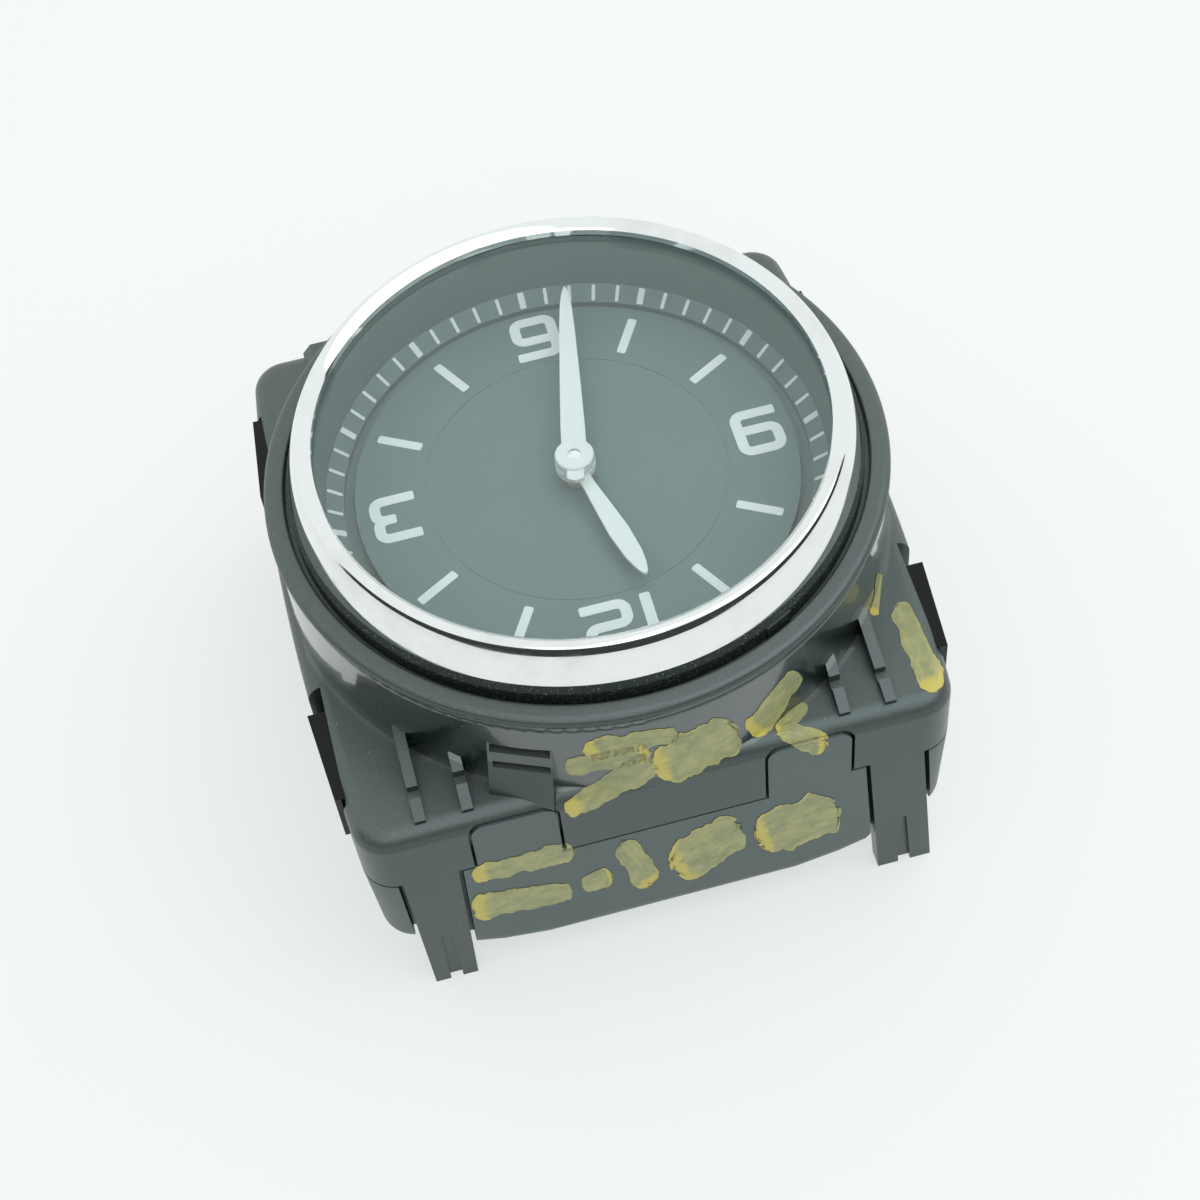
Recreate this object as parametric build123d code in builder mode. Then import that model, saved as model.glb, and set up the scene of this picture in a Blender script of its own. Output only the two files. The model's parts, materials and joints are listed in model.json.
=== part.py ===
from build123d import *
import math
import os

os.makedirs("parts", exist_ok=True)

# The clock lies on its back: the dial faces +Z, twelve o'clock points to +Y and three o'clock to +X.
# The origin is below the middle of the dial, level with the tips of the four legs.

# Main levels above the leg tips
dial_z = 43.5
shelf_z = 34.2
side_seam_z = 24.8
middle_seam_z = 23.5
cover_shell_z = 10.5
cover_bottom_z = 3.4
board_z = 22.5

# Square base of the front housing, deeper at the back and with slightly bowed sides
base_half_x = 36.2
base_bow = 2.3
base_front_y = 35.5
base_back_y = 37.3
base_corner_r = 4.0
base_wall = 2.4
shelf_edge_r = 2.2
shelf_wall = 2.0
seam_gap = 0.3
back_pad_half_x = 26.2
back_pad_slope = 1.1
back_pad_h = 1.3
back_pad_inset = 0.5
back_pad_depth = 23.3

# Round barrel of the front housing; its lip and its neck are given as rises above the dial
barrel_r = 35.1
barrel_foot_r = 35.5
barrel_wall = 2.5
barrel_top_rise = 1.7
barrel_edge_r = 0.6
lip_groove_depth = 1.2
lip_groove_rise = 2.6
lip_r = 35.6
lip_edge_r = 0.85
lip_under_r = 0.5
lip_inner_r = 33.2
lip_inner_edge_r = 0.35
lip_top_rise = 4.0
seat_rise = 3.0
flange_t = 1.9
neck_bore_r = 30.3
neck_wall = 0.7
neck_top_rise = 8.3

# Ribs on the corner shelves
rib_places = (21.4, 26.7)
rib_w = 1.25
rib_height = 3.1
rib_end_height = 0.5
rib_end_y = 33.9
rib_notch_y = 30.6
rib_notch_w = 1.3
rib_notch_depth = 0.8

# Sloping block on the front of the barrel, on a line from the dial's middle
block_angle = 65.6
block_w = 7.2
block_top_z = 41.6
block_top_r = 35.0
block_foot_z = 33.2
block_foot_r = 37.6
block_slot_levels = ((41.3, 1.1, 0.25), (39.0, 0.9, 0.55))
block_slot_margin = 0.25
block_slot_depth = 0.8

# Four legs, flush with the front and the back; those on the nine o'clock side lean outwards
leg_root_x = 27.2
leg_tip_x = 27.2
leg_lean_tip_x = 28.9
leg_root_w = 6.4
leg_tip_w = 5.15
leg_lean_tip_w = 6.6
leg_t = 2.2
leg_gap = 0.55
leg_channel_h = 10.8
leg_channel_w = 1.3
leg_channel_tip_w = 1.5
leg_channel_depth = 0.7

# Tongues of the rear cover, two on the front and two on the back
tongue_x = 16.9
tongue_w = 9.7
tongue_top_z = 32.8
tongue_t = 1.5
tongue_corner_r = 1.5
tongue_gap = 0.35
tongue_hook_h = 1.2
tongue_hook_w = 4.0
tongue_shoulder = 1.6

# Rear cover
cover_wall = 2.0
cover_draft = 0.8
cover_edge_r = 3.0
cover_step = 2.6
cover_foot_edge_r = 2.8
cover_foot_points = (
    (26.8, 13.6), (26.8, 8.6), (24.8, 5.8), (21.0, 4.4), (15.4, 3.4),
    (-15.4, 3.4), (-21.0, 4.6), (-24.8, 6.0), (-26.8, 8.8), (-26.8, 13.6),
)
cover_foot_cavity = (-17.4, 18.2)
cover_haunch_half_x = 24.4
cover_haunch_z = 8.2
label_l = 30.0
label_w = 13.0
label_depth = 0.4
label_y = -20.0
label_corner_r = 1.5
cover_rib_w = 1.2
cover_rib_h = 3.0
cover_rib_places = (-26.0, 26.0)

# Side clips of spring steel
clip_y = 22.2
clip_l = 11.8
clip_top_z = 33.7
clip_h = 7.6
clip_floor_x = 34.2
clip_thin_x = 35.3
clip_thick_x = 36.3
clip_recess_from_y = 13.2
clip_recess_to_y = 28.8
clip_recess_gap = 0.15
clip_tab_l = 2.0
clip_tab_h = 3.0
clip_tab_gap = 0.1
clip_tab_shares = (-0.3, 0.3)

# Chrome bezel, lens, gasket and dial rings; rises are above the dial
bezel_foot_r = 32.3
bezel_foot_rise = 5.95
bezel_side_r = 31.75
bezel_side_rise = 8.5
bezel_shoulder_r = 31.2
bezel_shoulder_rise = 10.0
bezel_crest_r = 30.4
bezel_crest_rise = 10.85
bezel_inner_r = 29.06
bezel_inner_rise = 10.15
bezel_lip_rise = 9.35
skirt_gap = 0.05
skirt_wall = 0.55
skirt_foot_rise = 3.1
lens_t = 1.0
gasket_r = 32.7
gasket_shoulder_rise = 5.0
gasket_seam_w = 3.4
gasket_seam_t = 0.22
gasket_seam_angle = 118.0
shroud_foot_r = 28.85
shroud_top_r = 29.5
ring_clear = 0.15
track_in_r = 26.95
track_in_rise = -0.55
track_out_r = 28.8
track_out_rise = 0.7
ring_floor_rise = -1.3
ring_bottom_rise = -1.7
ring_floor_r = 25.75
dial_r = 25.6
dial_t = 0.8
dial_hole_r = 1.9
dial_line_r = 17.41
dial_line_w = 0.16
dial_line_depth = 0.06

# Light guide and light box
guide_t = 2.0
guide_r = 25.5
guide_hole_r = 3.2
guide_leg_w = 3.0
guide_leg_t = 2.4
guide_leg_at_r = 21.5
guide_leg_angles = (20.0, 90.0, 160.0, 205.0, 335.0)
guide_leg_clear = 0.3
box_r = 29.8
box_wall = 1.2
box_floor_t = 1.2
box_rim_bore_r = 25.7

# Circuit board and what is soldered to it
board_side_gap = 1.1
board_end_gap = 0.5
board_t = 1.6
board_corner_r = 1.5
board_screw_inset = 3.9
post_r = 3.0
led_l = 3.0
led_w = 2.0
led_t = 1.2
led_gap = 0.4
header_l = 18.0
header_w = 10.0
header_wall = 1.8
header_depth = 11.0
header_gap = 0.3
pin_w = 0.64
pin_pitch = 3.0
pin_count = 4
pin_reach = 5.0
pin_tail = 1.0
chip_w = 9.0
chip_t = 1.4
chip_at = (-17.5, 14.0)
chip_lead_w = 0.4
chip_lead_pitch = 1.27
chip_lead_count = 6
chip_lead_out = 1.0
chip_lead_t = 0.2
driver_l = 5.0
driver_w = 4.0
driver_t = 1.5
driver_at = (17.0, -1.0)
regulator_l = 6.5
regulator_w = 6.0
regulator_t = 2.3
regulator_at = (17.5, -14.0)
regulator_tab = 1.4
regulator_tab_t = 0.5
capacitor_r = 3.15
capacitor_h = 5.8
capacitor_base_w = 6.6
capacitor_base_t = 0.9
capacitor_places = ((19.0, 13.5), (11.0, 17.5))
crystal_l = 7.0
crystal_w = 3.2
crystal_h = 2.6
crystal_at = (-17.5, 1.5)
resistor_l = 2.0
resistor_w = 1.25
resistor_h = 0.5
resistor_at = (-19.0, -14.0)
resistor_pitch_x = 3.2
resistor_pitch_y = 3.0
resistor_rows = 3
resistor_columns = 3

# Screws
screw_r = 1.15
screw_head_r = 2.3
screw_head_h = 1.5
screw_bite = 5.5
screw_clear = 0.05
small_screw_r = 0.7
small_head_r = 1.5
small_head_h = 0.8
small_bite = 3.0
screw_slot_w_share = 0.28
screw_slot_share = 0.7
screw_slot_depth_share = 0.5

# Movement case
case_x = -0.7
case_y = -6.8
case_l = 30.6
case_w = 38.8
case_corner_r = 8.0
case_wall = 1.2
case_floor_t = 1.2
boss_r = 1.2
boss_h = 1.0
neck_out_r = 2.4
neck_reach = 4.0

# Gear train: wheels and pinions by their teeth
train_module = 0.3
motion_module = 0.25
pressure_angle = 25.0
addendum_share = 0.8
dedendum_share = 1.05
backlash_share = 0.09
gear_t = 0.8
gear_gap = 0.4
train_rise = 6.3
rotor_teeth = 12
second_teeth = 36
second_pinion_teeth = 10
third_teeth = 40
third_pinion_teeth = 10
minute_teeth = 50
cannon_teeth = 12
motion_teeth = 36
motion_pinion_teeth = 10
hour_teeth = 40
third_bearing = -160.0
second_bearing = -74.0
rotor_bearing = -18.0
motion_bearing = 60.0
arbor_r = 0.6
pivot_r = 0.3
pivot_l = 0.9
pivot_clear = 0.03
end_shake = 0.1
window_count = 4
window_r_share = 0.2
window_at_share = 0.6
centre_arbor_r = 0.75
centre_clear = 0.03
pipe_clear = 0.05
pipe_r = 1.3
hub_r = 1.7
bridge_t = 0.8
bridge_w = 5.6
bridge_arm_w = 4.0
pillar_r = 1.6
pillar_places = ((-10.4, 6.6), (10.8, 6.6))
foot_place = (-12.3, -15.0)
foot_h = 2.4

# Stepper motor
magnet_r = 2.6
magnet_t = 2.4
magnet_hub_r = 0.6
air_gap = 0.45
stator_ring_r = 5.0
stator_t = 1.0
stator_rise = 2.6
stator_arm_w = 3.6
pole_notch_r = 0.35
coil_drop = 8.6
coil_half_l = 8.0
screw_spread = 9.9
core_w = 3.4
core_t = 1.2
bobbin_tube_r = 2.1
bobbin_flange_r = 3.1
bobbin_flange_t = 0.7
winding_r = 2.8
core_gap = 0.1
coil_pin_w = 0.6
coil_pin_spread = 5.0

# Hands, as rises above the dial and half widths at shares of the length
hour_hand_rise = 1.5
hour_boss_h = 1.0
hour_boss_r = 2.3
hour_hand_l = 17.6
hour_hand_angle = -347.4
hour_blade_t = 0.4
hour_blade_half = 1.2
hour_blade_shares = (
    (0.0, 0.6), (0.2, 0.62), (0.4, 0.82), (0.62, 1.0), (0.82, 0.86), (0.92, 0.6), (0.98, 0.3),
)
minute_hand_rise = 2.9
minute_boss_h = 1.05
minute_boss_r = 2.25
minute_hand_l = 25.9
minute_hand_angle = -191.2
minute_blade_t = 0.5
minute_blade_half = 1.4
minute_blade_shares = (
    (0.0, 1.0), (0.16, 1.0), (0.45, 0.84), (0.75, 0.64), (0.88, 0.5), (0.95, 0.32), (0.99, 0.12),
)
minute_tail_l = 3.6
minute_tail_half = 0.95
minute_tail_shares = ((0.0, 1.0), (0.9, 1.0))
hand_rise_in_boss = 0.25
arbor_sink = 0.2

# Cuts run past a face by this much
over = 1.0

# Round edges are found by their radius and level within this
match = 0.01

# Levels worked out from the sizes above
board_top_z = board_z + board_t
floor_z = board_top_z + case_floor_t
second_z = board_top_z + train_rise
level_step = gear_t + gear_gap
third_z = second_z + level_step
minute_z = third_z + level_step
bridge_z = minute_z + gear_t + gear_gap / 2
motion_z = bridge_z + bridge_t + gear_gap / 2
hour_z = motion_z + level_step
case_top_z = hour_z + level_step
cap_top_z = case_top_z + case_wall
stator_z = floor_z + stator_rise
core_z = stator_z + stator_t
coil_axis_z = core_z + core_t / 2
guide_top_z = dial_z - dial_t
guide_z = guide_top_z - guide_t
tray_z = guide_z - box_floor_t
ring_bottom_z = dial_z + ring_bottom_rise
neck_r = neck_bore_r + neck_wall
skirt_r = neck_r + skirt_gap
skirt_out_r = skirt_r + skirt_wall
lens_r = skirt_r - skirt_gap
base_faces = ((1, base_front_y), (-1, base_back_y))
leg_tips = {1: leg_tip_x, -1: leg_lean_tip_x}
leg_tip_widths = {1: leg_tip_w, -1: leg_lean_tip_w}
board_half_x = base_half_x - base_bow - base_wall - board_side_gap
board_half_y = base_front_y - cover_step - cover_wall - board_end_gap
board_screw_x = board_half_x - board_screw_inset
board_screw_y = board_half_y - board_screw_inset
hook_low_z = tongue_top_z - tongue_shoulder - tongue_hook_h


def polar(radius, angle):
    """Point at a radius and an angle in degrees."""
    return (radius * math.cos(math.radians(angle)), radius * math.sin(math.radians(angle)))


def moved(point, radius, angle):
    """Point at a radius and an angle from another point."""
    step = polar(radius, angle)
    return (point[0] + step[0], point[1] + step[1])


def tooth_half_angle(radius, pitch_r, base_r, thickness):
    """Half the angle that an involute tooth fills at a radius."""
    slope = math.radians(pressure_angle)
    here = math.acos(min(1.0, base_r / radius))
    return thickness / (2 * pitch_r) + math.tan(slope) - slope - math.tan(here) + here


def gear_outline(teeth, module, phase, centre):
    """Points round a gear with involute teeth; one tooth is centred on the phase angle."""
    pitch_r = teeth * module / 2
    base_r = pitch_r * math.cos(math.radians(pressure_angle))
    root_r = pitch_r - dedendum_share * module
    tip_r = pitch_r + addendum_share * module
    thickness = math.pi * module / 2 - backlash_share * module
    start_r = max(root_r, base_r)
    flank = [start_r, (start_r + pitch_r) / 2, pitch_r, (pitch_r + tip_r) / 2, tip_r]
    points = []
    for tooth in range(teeth):
        middle = math.radians(phase) + 2 * math.pi * tooth / teeth
        half = [tooth_half_angle(radius, pitch_r, base_r, thickness) for radius in flank]
        rising = [(root_r, -half[0])] if root_r < base_r else []
        rising += [(radius, -angle) for radius, angle in zip(flank, half)]
        for radius, angle in rising + [(radius, -angle) for radius, angle in reversed(rising)]:
            points.append(moved(centre, radius, math.degrees(middle + angle)))
    return points


def mesh_phase(teeth, phase, from_centre, to_centre, other_teeth):
    """Phase of a gear whose tooth gap meets the tooth of the gear that it meshes with."""
    line = math.degrees(math.atan2(to_centre[1] - from_centre[1], to_centre[0] - from_centre[0]))
    lead = (line - phase) * teeth / 360
    return line + 180 - (0.5 - lead) * 360 / other_teeth


def gear(teeth, module, phase, centre, bottom_z, height):
    """Adds a gear to the part being built."""
    with BuildSketch(Plane.XY.offset(bottom_z)) as outline:
        with BuildLine():
            Polyline(*gear_outline(teeth, module, phase, centre), close=True)
        make_face()
    extrude(outline.sketch, amount=height)


def disc(centre, radius, bottom_z, top_z, mode=Mode.ADD):
    """Adds or cuts an upright cylinder."""
    with BuildSketch(Plane.XY.offset(bottom_z)) as outline:
        with Locations(centre):
            Circle(radius)
    extrude(outline.sketch, amount=top_z - bottom_z, mode=mode)


def block(low, high, mode=Mode.ADD):
    """Adds or cuts a box between two corners."""
    with BuildSketch(Plane.XY.offset(low[2])) as outline:
        with Locations(((low[0] + high[0]) / 2, (low[1] + high[1]) / 2)):
            Rectangle(high[0] - low[0], high[1] - low[1])
    extrude(outline.sketch, amount=high[2] - low[2], mode=mode)


def rounded_block(centre, length, width, corner_r, bottom_z, top_z, mode=Mode.ADD):
    """Adds or cuts an upright block with rounded corners."""
    with BuildSketch(Plane.XY.offset(bottom_z)) as outline:
        with Locations(centre):
            RectangleRounded(length, width, corner_r)
    extrude(outline.sketch, amount=top_z - bottom_z, mode=mode)


def base_outline(side_inset, end_inset, corner_r, level_z):
    """Outline of the square base at a level, with its two bowed sides and rounded corners."""
    half_x = base_half_x - side_inset
    corner_x = half_x - base_bow
    front_y = base_front_y - end_inset
    back_y = base_back_y - end_inset
    middle_y = (front_y - back_y) / 2
    with BuildSketch(Plane.XY.offset(level_z)) as outline:
        with BuildLine():
            Line((-corner_x, front_y), (corner_x, front_y))
            ThreePointArc((corner_x, front_y), (half_x, middle_y), (corner_x, -back_y))
            Line((corner_x, -back_y), (-corner_x, -back_y))
            ThreePointArc((-corner_x, -back_y), (-half_x, middle_y), (-corner_x, front_y))
        make_face()
        fillet(outline.vertices(), corner_r)
    return outline.sketch


def round_edges(part, radius, level):
    """Full circles of a part at a radius and a level."""
    circles = part.edges().filter_by(GeomType.CIRCLE)
    return [edge for edge in circles
            if abs(edge.radius - radius) < match and abs(edge.center().Z - level) < match]


def leg_points(side, gap, low_z, high_z):
    """Corners of a leg's outline between two levels, grown on both sides by a gap."""
    points = []
    for edge, levels in ((-1, (high_z, low_z)), (1, (low_z, high_z))):
        for level in levels:
            share = min(level / side_seam_z, 1.0)
            middle = side * (leg_tips[side] + (leg_root_x - leg_tips[side]) * share)
            half = (leg_tip_widths[side] + (leg_root_w - leg_tip_widths[side]) * share) / 2 + gap
            points.append((middle + edge * half, level))
    return points


def turned(points, mode=Mode.ADD):
    """Adds or cuts a body turned about the dial axis from (radius, height) points."""
    with BuildSketch(Plane.XZ) as outline:
        with BuildLine():
            Polyline(*points, close=True)
        make_face()
    revolve(outline.sketch, axis=Axis.Z, mode=mode)


def spoke_windows(centre, pitch_r, bottom_z, top_z):
    """Cuts round windows in a wheel."""
    for window in range(window_count):
        place = moved(centre, pitch_r * window_at_share, 360 * window / window_count)
        disc(place, pitch_r * window_r_share, bottom_z, top_z, Mode.SUBTRACT)


def screw(place, seat_z, radius, head_r, head_h, shank_l, up):
    """Adds a cross-head screw whose head rests on the seat and whose shank points up or down."""
    way = 1 if up else -1
    disc(place, head_r, seat_z, seat_z - way * head_h)
    disc(place, radius, seat_z, seat_z + way * shank_l)
    slot_depth = head_h * screw_slot_depth_share
    slot_l = head_r * 2 * screw_slot_share
    slot_w = head_r * screw_slot_w_share
    face_z = seat_z - way * head_h
    inner_z = face_z + way * slot_depth
    for length, width in ((slot_l, slot_w), (slot_w, slot_l)):
        low = (place[0] - length / 2, place[1] - width / 2, min(face_z, inner_z))
        high = (place[0] + length / 2, place[1] + width / 2, max(face_z, inner_z))
        block(low, high, Mode.SUBTRACT)


def save(part, name):
    """Labels a finished piece and writes it."""
    part.label = name
    export_step(part, "parts/" + name + ".step")


# Places of the arbors
centre = (0.0, 0.0)
third_at = moved(centre, (minute_teeth + third_pinion_teeth) * train_module / 2, third_bearing)
second_at = moved(third_at, (third_teeth + second_pinion_teeth) * train_module / 2, second_bearing)
rotor_at = moved(second_at, (second_teeth + rotor_teeth) * train_module / 2, rotor_bearing)
motion_distance = (cannon_teeth + motion_teeth) * motion_module / 2
motion_at = moved(centre, motion_distance, motion_bearing)
hour_module = 2 * motion_distance / (motion_pinion_teeth + hour_teeth)

# Phases that put the teeth in mesh
third_phase = mesh_phase(minute_teeth, 0.0, centre, third_at, third_pinion_teeth)
second_phase = mesh_phase(third_teeth, third_phase, third_at, second_at, second_pinion_teeth)
rotor_phase = mesh_phase(second_teeth, second_phase, second_at, rotor_at, rotor_teeth)
motion_phase = mesh_phase(cannon_teeth, 0.0, centre, motion_at, motion_teeth)
hour_phase = mesh_phase(motion_pinion_teeth, motion_phase, motion_at, centre, hour_teeth)

# Front housing: barrel, lip and neck on a square base with corner shelves, ribs and legs
inner_corner_r = base_corner_r - base_wall
shelf_under_z = shelf_z - shelf_wall
bore_r = barrel_r - barrel_wall
seat_z = dial_z + seat_rise
flange_under_z = seat_z - flange_t
lip_top_z = dial_z + lip_top_rise
lip_under_z = dial_z + lip_groove_rise
barrel_top_z = dial_z + barrel_top_rise

with BuildPart() as front_housing:
    extrude(base_outline(0, 0, base_corner_r, middle_seam_z), amount=shelf_z - middle_seam_z)
    fillet(front_housing.edges().group_by(Axis.Z)[-1], shelf_edge_r)
    # The barrel starts below the rounded shelf edge, so that it runs out flush with the front
    turned((
        (0, shelf_z - shelf_edge_r),
        (barrel_foot_r, shelf_z - shelf_edge_r),
        (barrel_r, barrel_top_z),
        (barrel_r - lip_groove_depth, barrel_top_z),
        (barrel_r - lip_groove_depth, lip_under_z),
        (lip_r, lip_under_z),
        (lip_r, lip_top_z),
        (lip_inner_r, lip_top_z),
        (lip_inner_r, seat_z),
        (neck_r, seat_z),
        (neck_r, dial_z + neck_top_rise),
        (0, dial_z + neck_top_rise),
    ))
    fillet(round_edges(front_housing, lip_r, lip_top_z), lip_edge_r)
    fillet(round_edges(front_housing, lip_r, lip_under_z), lip_under_r)
    fillet(round_edges(front_housing, lip_inner_r, lip_top_z), lip_inner_edge_r)
    fillet(round_edges(front_housing, barrel_r, barrel_top_z), barrel_edge_r)
    # A low pad along the back edge of the shelf
    with BuildSketch(Plane.XZ.offset(base_back_y - back_pad_inset)):
        with BuildLine():
            Polyline(
                (-back_pad_half_x - back_pad_slope, shelf_under_z),
                (-back_pad_half_x - back_pad_slope, shelf_z),
                (-back_pad_half_x, shelf_z + back_pad_h),
                (back_pad_half_x, shelf_z + back_pad_h),
                (back_pad_half_x + back_pad_slope, shelf_z),
                (back_pad_half_x + back_pad_slope, shelf_under_z),
                close=True,
            )
        make_face()
    extrude(amount=-back_pad_depth)
    # Sloping block on the front of the barrel, with two slots in its face
    block_plane = Plane(origin=(0, 0, 0), x_dir=(*polar(1, block_angle), 0),
                        z_dir=(*polar(1, block_angle - 90), 0))
    block_slope = (block_foot_r - block_top_r) / (block_top_z - block_foot_z)
    with BuildSketch(block_plane):
        with BuildLine():
            Polyline(
                (bore_r - barrel_wall, shelf_under_z + shelf_wall / 4),
                (block_foot_r, shelf_under_z + shelf_wall / 4),
                (block_foot_r, block_foot_z),
                (block_top_r, block_top_z),
                (bore_r - barrel_wall, block_top_z),
                close=True,
            )
        make_face()
    extrude(amount=block_w / 2, both=True)
    for slot_z, slot_h, slot_margin in block_slot_levels:
        face_r = block_top_r + (block_top_z - slot_z) * block_slope
        with BuildSketch(block_plane.offset(block_slot_margin - block_w / 2)):
            with BuildLine():
                Polyline(
                    (face_r - block_slot_depth, slot_z),
                    (face_r + over, slot_z),
                    (face_r + over, slot_z - slot_h),
                    (face_r - block_slot_depth, slot_z - slot_h),
                    close=True,
                )
            make_face()
        extrude(amount=block_w - block_slot_margin - slot_margin, mode=Mode.SUBTRACT)
    # Inside: the square cavity, the barrel bore and the opening of the neck
    extrude(base_outline(base_wall, base_wall, inner_corner_r, middle_seam_z - over),
            amount=shelf_under_z - middle_seam_z + over, mode=Mode.SUBTRACT)
    disc(centre, bore_r, middle_seam_z - over, flange_under_z, Mode.SUBTRACT)
    disc(centre, neck_bore_r, middle_seam_z - over, dial_z + neck_top_rise + over, Mode.SUBTRACT)
    # The lower edge is higher all round than in the middle of the front and the back
    middle_half = tongue_x - tongue_w / 2 - tongue_gap
    for side in (-1, 1):
        across = (side * middle_half, side * (base_half_x + over))
        block((min(across), -base_back_y - over, middle_seam_z - over),
              (max(across), base_front_y + over, side_seam_z), Mode.SUBTRACT)
    # Windows in the wall for the tongues, each with a slot for the tongue's hook
    for face, reach in base_faces:
        for side in (-1, 1):
            window_h = tongue_top_z - side_seam_z + 2 * (over + tongue_gap)
            with BuildSketch(Plane.XZ.offset(-face * (reach + over))):
                with Locations((side * tongue_x, (tongue_top_z + side_seam_z) / 2 - over)):
                    RectangleRounded(tongue_w + 2 * tongue_gap, window_h, tongue_corner_r)
            extrude(amount=face * (over + tongue_t + tongue_gap / 2), mode=Mode.SUBTRACT)
            slot_y = (face * (reach - base_wall - over), face * reach)
            slot_half_w = tongue_hook_w / 2 + tongue_gap
            block((side * tongue_x - slot_half_w, min(slot_y), hook_low_z - tongue_gap),
                  (side * tongue_x + slot_half_w, max(slot_y), hook_low_z + tongue_hook_h + tongue_gap),
                  Mode.SUBTRACT)
    # Ribs that fall from the barrel to the edge of each shelf, each with a notch
    for face in (-1, 1):
        for side in (-1, 1):
            for rib_x in rib_places:
                wall_y = math.sqrt(barrel_r ** 2 - rib_x ** 2)
                with BuildSketch(Plane.YZ.offset(side * rib_x - rib_w / 2)):
                    with BuildLine():
                        Polyline(
                            (face * (wall_y - barrel_wall), shelf_z - shelf_wall / 2),
                            (face * (wall_y - barrel_wall), shelf_z + rib_height),
                            (face * wall_y, shelf_z + rib_height),
                            (face * rib_end_y, shelf_z + rib_end_height),
                            (face * rib_end_y, shelf_z - shelf_wall / 2),
                            close=True,
                        )
                    make_face()
                extrude(amount=rib_w)
                fall = (rib_notch_y - wall_y) / (rib_end_y - wall_y)
                notch_z = shelf_z + rib_height - fall * (rib_height - rib_end_height) - rib_notch_depth
                block((side * rib_x - rib_w, face * rib_notch_y - rib_notch_w / 2, notch_z),
                      (side * rib_x + rib_w, face * rib_notch_y + rib_notch_w / 2, shelf_z + rib_height),
                      Mode.SUBTRACT)
    # The ribs must not reach into the bore
    disc(centre, bore_r, shelf_under_z, flange_under_z, Mode.SUBTRACT)
    # Legs, each with a channel that is open at the tip
    for face, reach in base_faces:
        for side in (-1, 1):
            with BuildSketch(Plane.XZ.offset(-face * reach)):
                with BuildLine():
                    Polyline(*leg_points(side, 0, 0, side_seam_z), close=True)
                make_face()
            extrude(amount=face * leg_t)
            root_y = (face * reach, face * (reach - leg_t))
            block((side * leg_root_x - leg_root_w / 2, min(root_y), side_seam_z),
                  (side * leg_root_x + leg_root_w / 2, max(root_y), side_seam_z + base_wall))
            channel_share = leg_channel_h / side_seam_z
            channel_top_x = side * (leg_tips[side] + (leg_root_x - leg_tips[side]) * channel_share)
            channel_tip_x = side * leg_tips[side]
            with BuildSketch(Plane.XZ.offset(-face * (reach - leg_channel_depth))):
                with BuildLine():
                    Polyline(
                        (channel_top_x - leg_channel_w / 2, leg_channel_h),
                        (channel_top_x + leg_channel_w / 2, leg_channel_h),
                        (channel_tip_x + leg_channel_tip_w / 2, 0),
                        (channel_tip_x - leg_channel_tip_w / 2, 0),
                        close=True,
                    )
                make_face()
            extrude(amount=-face * leg_t, mode=Mode.SUBTRACT)
    # Recesses in the side walls for the clips, each with slots for the clip's tabs
    for side in (-1, 1):
        for face in (-1, 1):
            recess_x = (side * clip_floor_x, side * (base_half_x + over))
            recess_y = (face * clip_recess_from_y, face * clip_recess_to_y)
            block((min(recess_x), min(recess_y), clip_top_z - clip_h - clip_recess_gap),
                  (max(recess_x), max(recess_y), shelf_z + over), Mode.SUBTRACT)
            for share in clip_tab_shares:
                tab_y = face * clip_y + share * clip_l
                tab_x = (side * (clip_floor_x - base_wall - over), side * (clip_floor_x + over))
                tab_z = clip_top_z - clip_h / 2
                half_l = clip_tab_l / 2 + clip_tab_gap
                half_h = clip_tab_h / 2 + clip_tab_gap
                block((min(tab_x), tab_y - half_l, tab_z - half_h),
                      (max(tab_x), tab_y + half_l, tab_z + half_h), Mode.SUBTRACT)
    # Posts that carry the circuit board
    for x_side in (-1, 1):
        for y_side in (-1, 1):
            post_at = (x_side * board_screw_x, y_side * board_screw_y)
            disc(post_at, post_r, board_top_z, shelf_under_z + shelf_wall / 2)
            pilot_top_z = board_top_z + screw_bite + over
            disc(post_at, screw_r + screw_clear, board_top_z, pilot_top_z, Mode.SUBTRACT)
save(front_housing.part, "front_housing")

# Rear cover: a drafted shell with a deeper middle, four tongues, pockets for the legs and an opening
# for the plug socket
cover_top_z = side_seam_z - seam_gap
middle_top_z = middle_seam_z - seam_gap
step_in_x = leg_root_x - leg_root_w / 2 - leg_gap - cover_wall

with BuildPart() as cover_cavity:
    loft(sections=[
        base_outline(cover_wall + cover_draft, cover_wall, inner_corner_r, cover_shell_z + cover_wall).face(),
        base_outline(cover_wall, cover_wall, inner_corner_r, cover_top_z).face(),
    ])
    # The wall steps inwards behind each leg
    for face, reach in base_faces:
        for side in (-1, 1):
            step_x = (side * step_in_x, side * base_half_x)
            step_y = (face * (reach - cover_step - cover_wall), face * reach)
            block((min(step_x), min(step_y), cover_shell_z),
                  (max(step_x), max(step_y), cover_top_z), Mode.SUBTRACT)
    block((cover_foot_cavity[0], cover_wall - base_back_y, cover_bottom_z + cover_wall),
          (cover_foot_cavity[1], base_front_y - cover_wall, cover_shell_z + cover_wall + over))
    haunch_inset = cover_step + cover_wall
    block((-cover_haunch_half_x, haunch_inset - base_back_y, cover_haunch_z),
          (cover_haunch_half_x, base_front_y - haunch_inset, cover_shell_z + cover_wall + over))

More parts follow.
